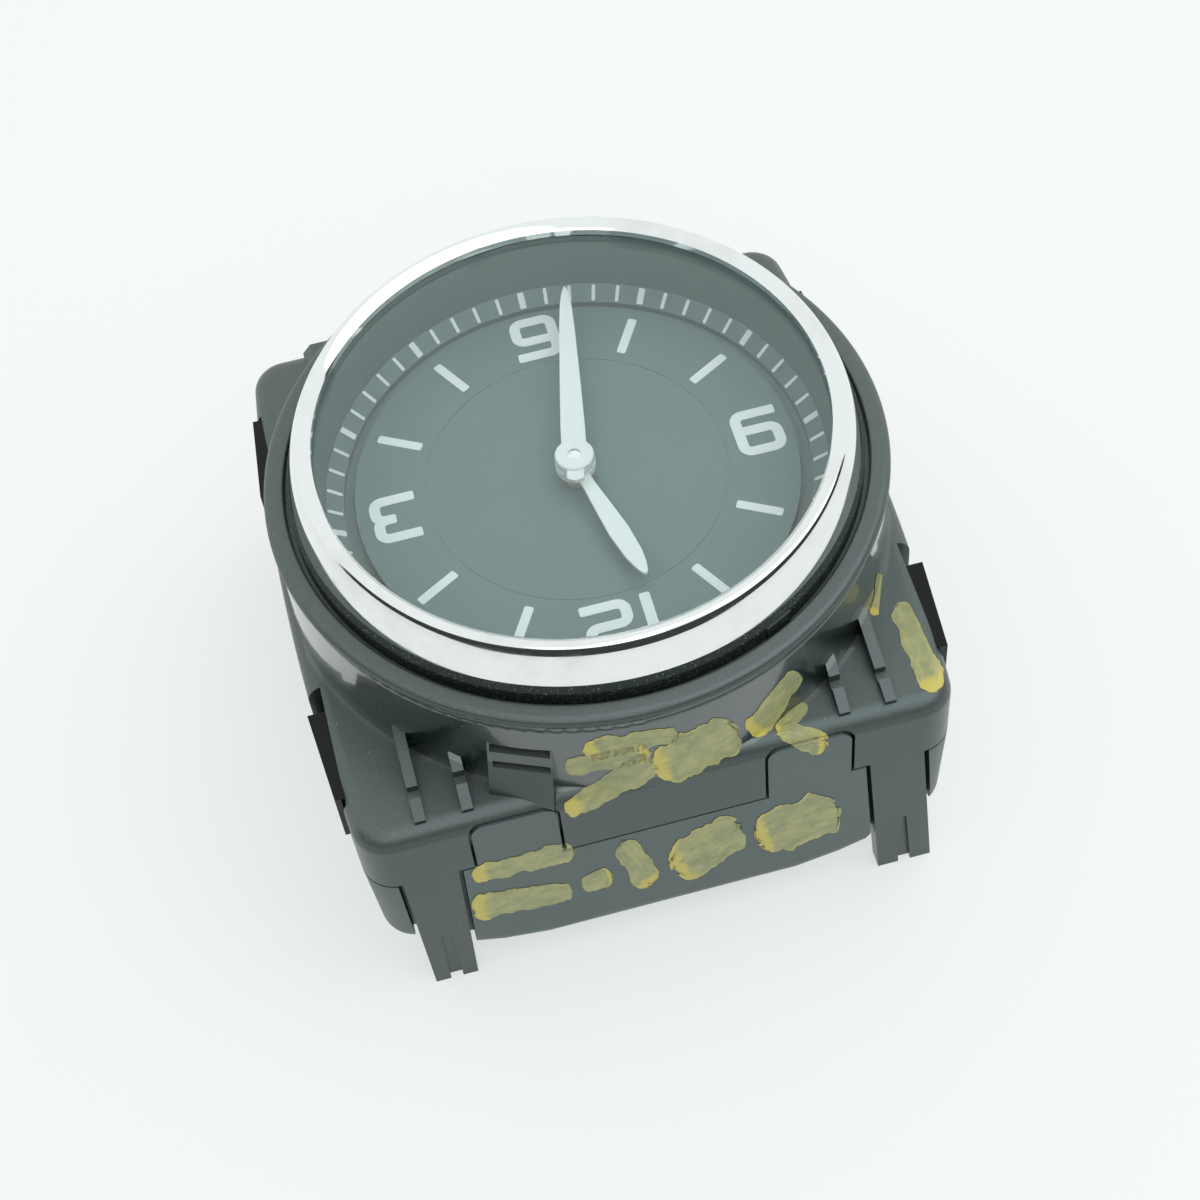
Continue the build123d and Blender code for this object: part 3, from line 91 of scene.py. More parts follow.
# The round barrel of the housing, between the shelf and the groove under its lip
BARREL = {"radius": 36.0 * MM, "foot": 33.9 * MM, "top": 45.6 * MM}

# Dial print: each stroke of a numeral lies one small step over the one before
PRINT_THICKNESS = 0.05 * MM
PRINT_STEP = 0.004 * MM
STROKE = 1.25 * MM
STROKE_BEND = 0.95 * MM
BEND_STEPS = 8
END_CUT = 0.25 * MM
END_SHARES = (0.25, 0.6, 1.0)
HOUR_MARK = {"inner": 18.8 * MM, "outer": 24.2 * MM, "width": 1.08 * MM, "corner": 0.25 * MM}
TRACK_FOOT = {"radius": 27.10 * MM, "rise": -0.45 * MM}
TRACK_TOP = {"radius": 28.72 * MM, "rise": 0.65 * MM}
TRACK_CORNER = 0.12 * MM
MARK_CORNER_POINTS = 4
MINUTE_WIDTH = 0.42 * MM
FIVE_MINUTE_WIDTH = 0.78 * MM

# Outline of the chrome ring: radius and height over the dial, in millimetres
BEZEL_CROWN = [(29.06, 10.15), (30.4, 10.85), (31.2, 10.0), (31.75, 8.5)]
BEZEL_FOOT = (32.3, 5.95)
BEZEL_SKIRT = [(31.60, 5.95), (31.60, 3.1), (31.05, 3.1), (31.05, 9.35), (29.06, 9.35)]
BEZEL_STEPS = 10
BEZEL_TURNS = 240

# Yellow paint, a sheet of small faces that ends where the surface steps away from the camera
PAINTED_NODES = ("front_housing", "rear_cover")
PAINT_SLOT = "black_moulding"
PAINT_THICKNESS = 0.05 * MM
SMALLEST_EDGE = 0.002 * MM
LARGEST_EDGE = 1.6 * MM
PIXEL = 0.125 * MM

# How a dab is drawn, with its lengths in pixels of the photograph
DAUB_STEP = 1.5
LEAST_STEPS = 6
DAUB_SPLITS = 9
END_REACH = 0.8
END_SHAPE = 2.2
RAGS = [{"depth": 0.30, "length": 16, "seed": 0}, {"depth": 0.12, "length": 5, "seed": 9}]
COMB = {"depth": 0.35, "width": 4, "seed": 4}
STREAK_SHIFT = 40
EDGE_LOAD = 0.7

# Dabs between two points of the photograph, with half a width at each end and a seed for the edge
DAUBS = [
    ((678, 733), (584, 752), 7.0, 12.0, 1.0), ((652, 762), (566, 812), 15.0, 9.0, 2.0),
    ((566, 768), (650, 752), 8.0, 10.0, 2.6), ((738, 730), (655, 770), 22.0, 19.0, 3.0),
    ((798, 672), (752, 735), 8.0, 13.0, 4.0), ((806, 704), (778, 733), 6.0, 9.0, 4.6),
    ((780, 730), (826, 745), 9.0, 14.0, 5.0), ((880, 572), (874, 616), 3.0, 4.0, 6.0),
    ((898, 604), (936, 690), 10.0, 14.0, 7.0),
    ((574, 850), (472, 876), 10.0, 8.0, 8.0), ((572, 890), (472, 908), 9.0, 13.0, 9.0),
    ((582, 886), (612, 874), 8.0, 10.0, 10.0), ((622, 842), (652, 884), 12.0, 15.0, 11.0),
    ((740, 826), (674, 868), 19.0, 21.0, 12.0), ((838, 808), (756, 838), 20.0, 22.0, 13.0),
]


def socket_in(tree, name, kind, value=None):
    """Adds a named input to a node group."""
    made = tree.interface.new_socket(name=name, in_out="INPUT", socket_type=kind)
    if value is not None:
        made.default_value = value


def socket_out(tree, name, kind):
    """Adds a named output to a node group."""
    tree.interface.new_socket(name=name, in_out="OUTPUT", socket_type=kind)


class Nodes:
    """Adds and joins the nodes of one tree."""

    def __init__(self, tree):
        self.tree = tree

    def add(self, kind, **settings):
        """A new node; settings are its properties, and inputs is a dictionary of values or sockets."""
        node = self.tree.nodes.new(kind)
        inputs = settings.pop("inputs", {})
        for name, value in settings.items():
            setattr(node, name, value)
        for name, value in inputs.items():
            self.put(node.inputs[name], value)
        return node

    def put(self, socket, value):
        """Joins a socket to another one, or sets its value."""
        if isinstance(value, bpy.types.NodeSocket):
            self.tree.links.new(value, socket)
        else:
            socket.default_value = value

    def math(self, operation, first, second, clamp=False):
        """The result of a Math node."""
        node = self.add("ShaderNodeMath", operation=operation, use_clamp=clamp)
        self.put(node.inputs[0], first)
        self.put(node.inputs[1], second)
        return node.outputs[0]

    def noise(self, scale, detail, roughness, place):
        """Noise at so many waves a metre."""
        return self.add("ShaderNodeTexNoise", inputs={
            "Scale": scale, "Detail": detail, "Roughness": roughness, "Vector": place}).outputs["Fac"]

    def ramp(self, value, low, high, out_low=0.0, out_high=1.0):
        """A value taken smoothly from one range to another."""
        node = self.add("ShaderNodeMapRange", interpolation_type="SMOOTHSTEP", inputs={
            "Value": value, "From Min": low, "From Max": high, "To Min": out_low, "To Max": out_high})
        return node.outputs["Result"]

    def mix(self, share, first, second):
        """A colour between two colours."""
        node = self.add("ShaderNodeMix", data_type="RGBA")
        self.put(node.inputs[0], share)
        self.put(node.inputs[6], first)
        self.put(node.inputs[7], second)
        return node.outputs[2]


def rgb(colour):
    """A colour with its alpha."""
    return (*colour, 1.0)


def moulded_skin():
    """Group: the mottled tone, smudged gloss and fine grain of moulded plastic or paint."""
    tree = bpy.data.node_groups.new("moulded_skin", "ShaderNodeTree")
    socket_in(tree, "Tone", "NodeSocketColor", (0.02, 0.02, 0.02, 1))
    socket_in(tree, "Worn Tone", "NodeSocketColor", (0.05, 0.05, 0.05, 1))
    socket_in(tree, "Smudge Scale", "NodeSocketFloat", 90.0)
    socket_in(tree, "Grain Scale", "NodeSocketFloat", 4000.0)
    socket_in(tree, "Low Roughness", "NodeSocketFloat", 0.25)
    socket_in(tree, "High Roughness", "NodeSocketFloat", 0.45)
    socket_out(tree, "Color", "NodeSocketColor")
    socket_out(tree, "Roughness", "NodeSocketFloat")
    socket_out(tree, "Height", "NodeSocketFloat")
    nodes = Nodes(tree)
    given = nodes.add("NodeGroupInput").outputs
    place = nodes.add("ShaderNodeTexCoord").outputs["Object"]
    smudge = nodes.noise(given["Smudge Scale"], 5.0, 0.6, place)
    grain = nodes.noise(given["Grain Scale"], 2.0, 0.5, place)
    fine_smudge = nodes.noise(nodes.math("MULTIPLY", given["Smudge Scale"], 7.0), 4.0, 0.7, place)
    blotch = nodes.math("MULTIPLY", nodes.ramp(smudge, 0.35, 0.75), nodes.ramp(fine_smudge, 0.2, 0.8))
    result = nodes.add("NodeGroupOutput")
    nodes.put(result.inputs["Color"], nodes.mix(blotch, given["Tone"], given["Worn Tone"]))
    wear = nodes.math("ADD", nodes.math("MULTIPLY", smudge, 0.7), nodes.math("MULTIPLY", fine_smudge, 0.3))
    rough = nodes.add("ShaderNodeMapRange", inputs={
        "Value": wear, "From Min": 0.35, "From Max": 0.65,
        "To Min": given["Low Roughness"], "To Max": given["High Roughness"]})
    nodes.put(result.inputs["Roughness"], rough.outputs["Result"])
    nodes.put(result.inputs["Height"], grain)
    return tree


def settled_dust():
    """Group: dust that lies on faces that look up, with loose specks anywhere."""
    tree = bpy.data.node_groups.new("settled_dust", "ShaderNodeTree")
    socket_in(tree, "Color", "NodeSocketColor")
    socket_in(tree, "Roughness", "NodeSocketFloat", 0.3)
    socket_in(tree, "Dust Tone", "NodeSocketColor", (0.4, 0.42, 0.42, 1))
    socket_in(tree, "Film", "NodeSocketFloat", 0.2)
    socket_in(tree, "Speck Scale", "NodeSocketFloat", 1500.0)
    socket_in(tree, "Speck Share", "NodeSocketFloat", 0.1)
    socket_out(tree, "Color", "NodeSocketColor")
    socket_out(tree, "Roughness", "NodeSocketFloat")
    nodes = Nodes(tree)
    given = nodes.add("NodeGroupInput").outputs
    place = nodes.add("ShaderNodeTexCoord").outputs["Object"]
    normal = nodes.add("ShaderNodeNewGeometry").outputs["Normal"]
    up = nodes.add("ShaderNodeSeparateXYZ", inputs={"Vector": normal}).outputs["Z"]
    patchy = nodes.ramp(nodes.noise(2600.0, 4.0, 0.7, place), 0.25, 0.85, 0.6, 1.0)
    film = nodes.math("MULTIPLY", nodes.math("MULTIPLY", nodes.ramp(up, 0.15, 0.75), patchy), given["Film"])
    cells = nodes.add("ShaderNodeTexVoronoi", inputs={
        "Vector": place, "Scale": given["Speck Scale"], "Randomness": 1.0})
    chance = nodes.add("ShaderNodeTexWhiteNoise", noise_dimensions="3D", inputs={
        "Vector": cells.outputs["Position"]}).outputs["Value"]
    chosen = nodes.math("LESS_THAN", chance, given["Speck Share"])
    speck = nodes.math("MULTIPLY", chosen, nodes.ramp(cells.outputs["Distance"], 0.12, 0.3, 0.8, 0.0))
    cover = nodes.math("MAXIMUM", film, speck, clamp=True)
    result = nodes.add("NodeGroupOutput")
    nodes.put(result.inputs["Color"], nodes.mix(cover, given["Color"], given["Dust Tone"]))
    rough = nodes.add("ShaderNodeMapRange", inputs={
        "Value": cover, "To Min": given["Roughness"], "To Max": 0.85})
    nodes.put(result.inputs["Roughness"], rough.outputs["Result"])
    return tree


def brushed_grain():
    """Group: fine straight scratches of stamped or turned metal."""
    tree = bpy.data.node_groups.new("brushed_grain", "ShaderNodeTree")
    socket_in(tree, "Tone", "NodeSocketColor", (0.5, 0.5, 0.5, 1))
    socket_in(tree, "Stretch", "NodeSocketVector", (1.0, 12.0, 1.0))
    socket_in(tree, "Scale", "NodeSocketFloat", 900.0)
    socket_in(tree, "Low Roughness", "NodeSocketFloat", 0.2)
    socket_in(tree, "High Roughness", "NodeSocketFloat", 0.4)
    socket_out(tree, "Color", "NodeSocketColor")
    socket_out(tree, "Roughness", "NodeSocketFloat")
    socket_out(tree, "Height", "NodeSocketFloat")
    nodes = Nodes(tree)
    given = nodes.add("NodeGroupInput").outputs
    place = nodes.add("ShaderNodeTexCoord").outputs["Object"]
    stretched = nodes.add("ShaderNodeVectorMath", operation="MULTIPLY")
    nodes.put(stretched.inputs[0], place)
    nodes.put(stretched.inputs[1], given["Stretch"])
    lines = nodes.noise(given["Scale"], 3.0, 0.6, stretched.outputs["Vector"])
    dimmed = nodes.ramp(lines, 0.2, 0.8, 0.8, 1.0)
    grey = nodes.add("ShaderNodeCombineColor", inputs={"Red": dimmed, "Green": dimmed, "Blue": dimmed})
    darker = nodes.add("ShaderNodeMix", data_type="RGBA", blend_type="MULTIPLY")
    nodes.put(darker.inputs[0], 1.0)
    nodes.put(darker.inputs[6], given["Tone"])
    nodes.put(darker.inputs[7], grey.outputs["Color"])
    result = nodes.add("NodeGroupOutput")
    nodes.put(result.inputs["Color"], darker.outputs[2])
    rough = nodes.add("ShaderNodeMapRange", inputs={
        "Value": lines, "From Min": 0.3, "From Max": 0.7,
        "To Min": given["Low Roughness"], "To Max": given["High Roughness"]})
    nodes.put(result.inputs["Roughness"], rough.outputs["Result"])
    nodes.put(result.inputs["Height"], lines)
    return tree


GROUPS = {"skin": moulded_skin(), "dust": settled_dust(), "brushed": brushed_grain()}


def new_material(name, **settings):
    """A material with a Principled shader whose plain values are set on its own sockets."""
    material = bpy.data.materials.new(name)
    material.use_nodes = True
    nodes = Nodes(material.node_tree)
    shader = material.node_tree.nodes["Principled BSDF"]
    for key, value in settings.items():
        shader.inputs[key.replace("_", " ")].default_value = value
    return material, nodes, shader


def group_node(nodes, key, **values):
    """A shader group placed in a material with its own values."""
    node = nodes.add("ShaderNodeGroup", node_tree=GROUPS[key])
    for name, value in values.items():
        nodes.put(node.inputs[name.replace("_", " ")], value)
    return node


def bumped(nodes, shader, height, depth):
    """Feeds a height to the shader's normal."""
    bump = nodes.add("ShaderNodeBump", inputs={"Height": height, "Distance": depth, "Strength": 1.0})
    nodes.put(shader.inputs["Normal"], bump.outputs["Normal"])


def barrel_polish(nodes):
    """One on the round barrel under its lip, nought elsewhere on the housing."""
    place = nodes.add("ShaderNodeSeparateXYZ", inputs={
        "Vector": nodes.add("ShaderNodeTexCoord").outputs["Object"]}).outputs
    flat = nodes.add("ShaderNodeCombineXYZ", inputs={"X": place["X"], "Y": place["Y"]}).outputs["Vector"]
    out = nodes.add("ShaderNodeVectorMath", operation="LENGTH", inputs={"Vector": flat}).outputs["Value"]
    between = nodes.math("MULTIPLY", nodes.math("GREATER_THAN", place["Z"], BARREL["foot"]),
                         nodes.math("LESS_THAN", place["Z"], BARREL["top"]))
    return nodes.math("MULTIPLY", nodes.math("LESS_THAN", out, BARREL["radius"]), between)


def plastic(name, tone, worn, rough, film=0.0, specks=0.004, dust=(0.4, 0.42, 0.42), grain_depth=0.002 * MM,
            smudge_scale=60.0, speck_scale=2600.0, sheen=(1.0, 1.0, 1.0), gloss=0.5, polish=None):
    """Moulded plastic, rubber or paint with smudges, grain and dust; polish clear-coats the barrel."""
    material, nodes, shader = new_material(name, Specular_Tint=rgb(sheen), Specular_IOR_Level=gloss)
    skin = group_node(nodes, "skin", Tone=rgb(tone), Worn_Tone=rgb(worn), Smudge_Scale=smudge_scale,
                      Low_Roughness=rough[0], High_Roughness=rough[1])
    cover = group_node(nodes, "dust", Color=skin.outputs["Color"], Roughness=skin.outputs["Roughness"],
                       Dust_Tone=rgb(dust), Film=film, Speck_Share=specks, Speck_Scale=speck_scale)
    nodes.put(shader.inputs["Base Color"], cover.outputs["Color"])
    nodes.put(shader.inputs["Roughness"], cover.outputs["Roughness"])
    if polish:
        shader.inputs["Coat Roughness"].default_value = polish
        nodes.put(shader.inputs["Coat Weight"], barrel_polish(nodes))
    bumped(nodes, shader, skin.outputs["Height"], grain_depth)
    return material


def metal(name, tone, rough=(0.2, 0.4)):
    """Bare or plated metal with fine scratches."""
    material, nodes, shader = new_material(name, Metallic=1.0)
    grain = group_node(nodes, "brushed", Tone=rgb(tone), Low_Roughness=rough[0], High_Roughness=rough[1])
    nodes.put(shader.inputs["Base Color"], grain.outputs["Color"])
    nodes.put(shader.inputs["Roughness"], grain.outputs["Roughness"])
    bumped(nodes, shader, grain.outputs["Height"], SCRATCH_DEPTH)
    return material


def chrome(name):
    """Polished chrome with faint wipe marks."""
    material, nodes, shader = new_material(name, Metallic=1.0)
    place = nodes.add("ShaderNodeTexCoord").outputs["Object"]
    haze = nodes.noise(140.0, 6.0, 0.65, place)
    tone = nodes.mix(nodes.ramp(haze, 0.45, 0.75), rgb((0.86, 0.88, 0.88)), rgb((0.78, 0.79, 0.78)))
    nodes.put(shader.inputs["Base Color"], tone)
    nodes.put(shader.inputs["Roughness"], nodes.ramp(haze, 0.4, 0.8, 0.05, 0.16))
    bumped(nodes, shader, nodes.noise(900.0, 2.0, 0.5, place), 0.0006 * MM)
    return material


def clear(name, tone, roughness=0.0, index=1.5):
    """Clear glass or acrylic."""
    material, nodes, shader = new_material(name, Transmission_Weight=1.0, IOR=index, Base_Color=rgb(tone))
    place = nodes.add("ShaderNodeTexCoord").outputs["Object"]
    haze = nodes.ramp(nodes.noise(120.0, 5.0, 0.6, place), 0.5, 0.8, roughness, roughness + 0.03)
    nodes.put(shader.inputs["Roughness"], haze)
    return material


def wound_copper(name):
    """Enamelled wire, wound in fine turns along X."""
    material, nodes, shader = new_material(name, Metallic=0.8)
    place = nodes.add("ShaderNodeTexCoord").outputs["Object"]
    turns = nodes.add("ShaderNodeTexWave", wave_type="BANDS", bands_direction="X", inputs={
        "Vector": place, "Scale": 1400.0, "Distortion": 1.5})
    tone = nodes.mix(turns.outputs["Fac"], rgb((0.25, 0.08, 0.03)), rgb((0.72, 0.33, 0.14)))
    nodes.put(shader.inputs["Base Color"], tone)
    nodes.put(shader.inputs["Roughness"], nodes.ramp(turns.outputs["Fac"], 0.0, 1.0, 0.45, 0.25))
    bumped(nodes, shader, turns.outputs["Fac"], 0.05 * MM)
    return material


def paint_pen(name):
    """Thin ochre marker paint, streaked along the stroke and thicker at its edges."""
    material, nodes, shader = new_material(name)
    place = nodes.add("ShaderNodeTexCoord").outputs["Object"]
    path = nodes.add("ShaderNodeAttribute", attribute_name="stroke_place").outputs["Vector"]
    load = nodes.add("ShaderNodeSeparateXYZ", inputs={"Vector": path}).outputs["Z"]
    along = nodes.add("ShaderNodeVectorMath", operation="MULTIPLY")
    nodes.put(along.inputs[0], path)
    nodes.put(along.inputs[1], (0.22, 1.0, 0.002))
    streaks = nodes.noise(1500.0, 3.0, 0.55, along.outputs["Vector"])
    blotch = nodes.noise(420.0, 4.0, 0.6, place)
    cover = nodes.math("ADD", nodes.math("MULTIPLY", streaks, 0.45), nodes.math("MULTIPLY", blotch, 0.55))
    thin = nodes.mix(nodes.ramp(cover, 0.35, 0.65), rgb((0.30, 0.325, 0.165)), rgb((0.47, 0.46, 0.19)))
    thick = nodes.math("ADD", load, nodes.math("MULTIPLY", cover, 0.5))
    body = nodes.mix(nodes.ramp(thick, 0.75, 0.98), thin, rgb((0.66, 0.56, 0.13)))
    nodes.put(shader.inputs["Base Color"], body)
    nodes.put(shader.inputs["Roughness"], nodes.ramp(cover, 0.3, 0.7, 0.5, 0.32))
    bumped(nodes, shader, cover, 0.03 * MM)
    return material


def materials():
    """The finish of every material slot of the record, by slot name."""
    green_sheen = (0.80, 1.0, 0.97)
    return {
        "black_moulding": plastic(
            "black_moulding", (0.010, 0.019, 0.018), (0.018, 0.030, 0.029), (0.26, 0.36), film=0.20,
            sheen=green_sheen, gloss=1.0, polish=0.08, grain_depth=0.006 * MM),
        "cover_moulding": plastic(
            "cover_moulding", (0.052, 0.074, 0.072), (0.064, 0.088, 0.086), (0.36, 0.46), film=0.05,
            specks=0.003, sheen=green_sheen, gloss=1.0),
        "chrome_plating": chrome("chrome_plating"),
        "gasket_rubber": plastic(
            "gasket_rubber", (0.006, 0.009, 0.010), (0.012, 0.017, 0.018), (0.55, 0.7), film=0.12,
            specks=0.34, dust=(0.55, 0.60, 0.60), speck_scale=4600.0, sheen=green_sheen),
        "lens_glass": clear("lens_glass", (0.95, 0.99, 0.985)),
        "dial_black": plastic(
            "dial_black", (0.145, 0.218, 0.207), (0.155, 0.228, 0.217), (0.5, 0.6), specks=0.0006,
            sheen=green_sheen, grain_depth=0.0003 * MM),
        "light_guide_acrylic": clear("light_guide_acrylic", (0.95, 0.97, 0.97), 0.02, 1.49),
        "white_moulding": plastic("white_moulding", (0.75, 0.75, 0.72), (0.68, 0.68, 0.65), (0.4, 0.55)),
        "clip_steel": plastic(
            "clip_steel", (0.003, 0.004, 0.004), (0.005, 0.007, 0.007), (0.10, 0.18), gloss=0.25),
        "board_laminate": plastic(
            "board_laminate", (0.02, 0.12, 0.05), (0.03, 0.16, 0.07), (0.3, 0.45), smudge_scale=400.0),
        "screw_steel": metal("screw_steel", (0.5, 0.5, 0.5)),
        "socket_plastic": plastic("socket_plastic", (0.015, 0.016, 0.016), (0.03, 0.03, 0.03), (0.4, 0.55)),
        "pin_brass": metal("pin_brass", (0.68, 0.62, 0.42), (0.15, 0.3)),
        "chip_epoxy": plastic("chip_epoxy", (0.02, 0.02, 0.02), (0.035, 0.035, 0.035), (0.5, 0.65)),
        "capacitor_can": metal("capacitor_can", (0.72, 0.73, 0.74), (0.2, 0.35)),
        "lamp_resin": plastic("lamp_resin", (0.85, 0.78, 0.45), (0.8, 0.75, 0.5), (0.2, 0.3)),
        "movement_moulding": plastic(
            "movement_moulding", (0.78, 0.77, 0.72), (0.7, 0.69, 0.64), (0.35, 0.5)),
        "brass_plate": metal("brass_plate", (0.72, 0.56, 0.28), (0.22, 0.38)),
        "stator_iron": metal("stator_iron", (0.38, 0.38, 0.4), (0.35, 0.5)),
        "copper_wire": wound_copper("copper_wire"),
        "magnet_ferrite": plastic("magnet_ferrite", (0.06, 0.055, 0.055), (0.09, 0.085, 0.08), (0.5, 0.7)),
        "gear_plastic": plastic("gear_plastic", (0.85, 0.83, 0.76), (0.78, 0.76, 0.7), (0.25, 0.4)),
        "arbor_steel": metal("arbor_steel", (0.80, 0.80, 0.80), (0.25, 0.35)),
        "hand_white": plastic(
            "hand_white", (0.90, 0.94, 0.93), (0.86, 0.91, 0.90), (0.4, 0.5), specks=0.0004),
        "marker_paint": paint_pen("marker_paint"),
    }


FINISH = materials()

# Nodes whose finish differs from the one that their slot is named after
OWN_FINISH = {"rear_cover": "cover_moulding"}


def dress_nodes():
    """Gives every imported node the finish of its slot."""
    for subpart in frame["record"]["subparts"]:
        node = NODES[subpart["node"]]
        finish = OWN_FINISH.get(subpart["node"], subpart["material_slot"])
        node.data.materials.clear()
        node.data.materials.append(FINISH[finish])


def finish_piece(piece, slot_name, finish=None):
    """Gives a new piece its finish and lets it ride on the clock's case."""
    piece.data.materials.clear()
    piece.data.materials.append(FINISH[finish or slot_name])
    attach(piece, CASE)


def mesh_piece(name, vertices, faces, smooth=False):
    """A new object from points and faces."""
    mesh = bpy.data.meshes.new(name)
    mesh.from_pydata([tuple(point) for point in vertices], [], faces)
    mesh.validate()
    for face in mesh.polygons:
        face.use_smooth = smooth
    piece = bpy.data.objects.new(name, mesh)
    bpy.context.scene.collection.objects.link(piece)
    return piece


def rounded_path(points, radius):
    """Points along straight runs joined by arcs of one radius, as (x, y) pairs."""
    path = [Vector(points[0])]
    for before, corner, after in zip(points, points[1:], points[2:]):
        corner = Vector(corner)
        to_before = (Vector(before) - corner).normalized()
        to_after = (Vector(after) - corner).normalized()
        half = to_before.angle(to_after) / 2
        reach = min(radius / math.tan(half), (Vector(before) - corner).length / 2,
                    (Vector(after) - corner).length / 2)
        arc_radius = reach * math.tan(half)
        middle = corner + (to_before + to_after).normalized() * arc_radius / math.sin(half)
        start = corner + to_before * reach - middle
        sweep = (corner + to_after * reach - middle).angle_signed(start)
        for step in range(BEND_STEPS + 1):
            path.append(middle + Matrix.Rotation(sweep * step / BEND_STEPS, 2) @ start)
    path.append(Vector(points[-1]))
    return path


def ribbon(vertices, faces, path, half_widths, level):
    """Adds a flat band along a path, with a top face and side walls down to the dial."""
    first = len(vertices)
    for index, point in enumerate(path):
        before = path[max(index - 1, 0)]
        after = path[min(index + 1, len(path) - 1)]
        along = (after - before).normalized()
        across = Vector((-along.y, along.x)) * half_widths[index]
        for side in (1, -1):
            edge = point + across * side
            vertices.append((edge.x, edge.y, level))
            vertices.append((edge.x, edge.y, DIAL_TOP))
    for index in range(len(path) - 1):
        left_top, left_foot, right_top, right_foot = (first + 4 * index + corner for corner in range(4))
        faces.append((right_top, right_top + 4, left_top + 4, left_top))
        faces.append((left_top, left_top + 4, left_foot + 4, left_foot))
        faces.append((right_foot, right_foot + 4, right_top + 4, right_top))
    last = first + 4 * (len(path) - 1)
    faces.append((first, first + 1, first + 3, first + 2))
    faces.append((last + 2, last + 3, last + 1, last))


def stroke_widths(path, half):
    """Half widths of a stroke whose ends have slightly rounded corners."""
    lengths = [0.0]
    for before, after in zip(path, path[1:]):
        lengths.append(lengths[-1] + (after - before).length)
    widths = []
    for length in lengths:
        depth = min(length, lengths[-1] - length, END_CUT)
        widths.append(half - END_CUT + math.sqrt(END_CUT ** 2 - (END_CUT - depth) ** 2))
    return widths


def with_ends(path):
    """A path with extra points close to both ends, so that the ends can be rounded."""
    head = (path[1] - path[0]).normalized()
    tail = (path[-2] - path[-1]).normalized()
    start = [path[0] + head * END_CUT * share for share in END_SHARES]
    stop = [path[-1] + tail * END_CUT * share for share in reversed(END_SHARES)]
    return [path[0], *start, *path[1:-1], *stop, path[-1]]


# Centre lines of the numerals' strokes in millimetres from each numeral's own middle
NINE = [
    [(2.25, -0.35), (-2.15, -0.35), (-2.15, 2.7), (0.6, 2.7)],
    [(-0.2, 2.7), (2.25, 2.7), (2.25, -2.7), (-2.65, -2.7)],
]
THREE = [
    [(-2.75, 2.6), (1.95, 2.6), (1.95, 0.0), (-0.2, 0.0)],
    [(-0.2, -0.05), (2.05, -0.05), (2.05, -2.75), (-2.75, -2.75)],
]
SIX = [[(-x, -y) for x, y in stroke] for stroke in NINE]
TWO = [
    [(-2.3, 2.75), (2.25, 2.75), (2.25, -0.15), (-2.2, -0.15), (-2.2, -2.75), (2.85, -2.75)],
]
ONE = [[(0.0, -3.35), (0.0, 3.35)]]

# Each numeral with its middle on the dial, in millimetres
NUMERALS = [
    (NINE, (-21.6, 0.0)), (THREE, (21.35, -0.1)), (SIX, (-0.2, -21.65)),
    (TWO, (1.55, 21.5)), (ONE, (-3.1, 21.5)),
]


def numerals():
    """The printed twelve, three, six and nine."""
    vertices, faces = [], []
    layer = 0
    for strokes, middle in NUMERALS:
        for stroke in strokes:
            layer += 1
            points = [(Vector(point) + Vector(middle)) * MM for point in stroke]
            path = with_ends(rounded_path(points, STROKE_BEND))
            level = DIAL_TOP + PRINT_THICKNESS + layer * PRINT_STEP
            ribbon(vertices, faces, path, stroke_widths(path, STROKE / 2), level)
    piece = mesh_piece("dial_numerals", vertices, faces)
    finish_piece(piece, "hand_white")


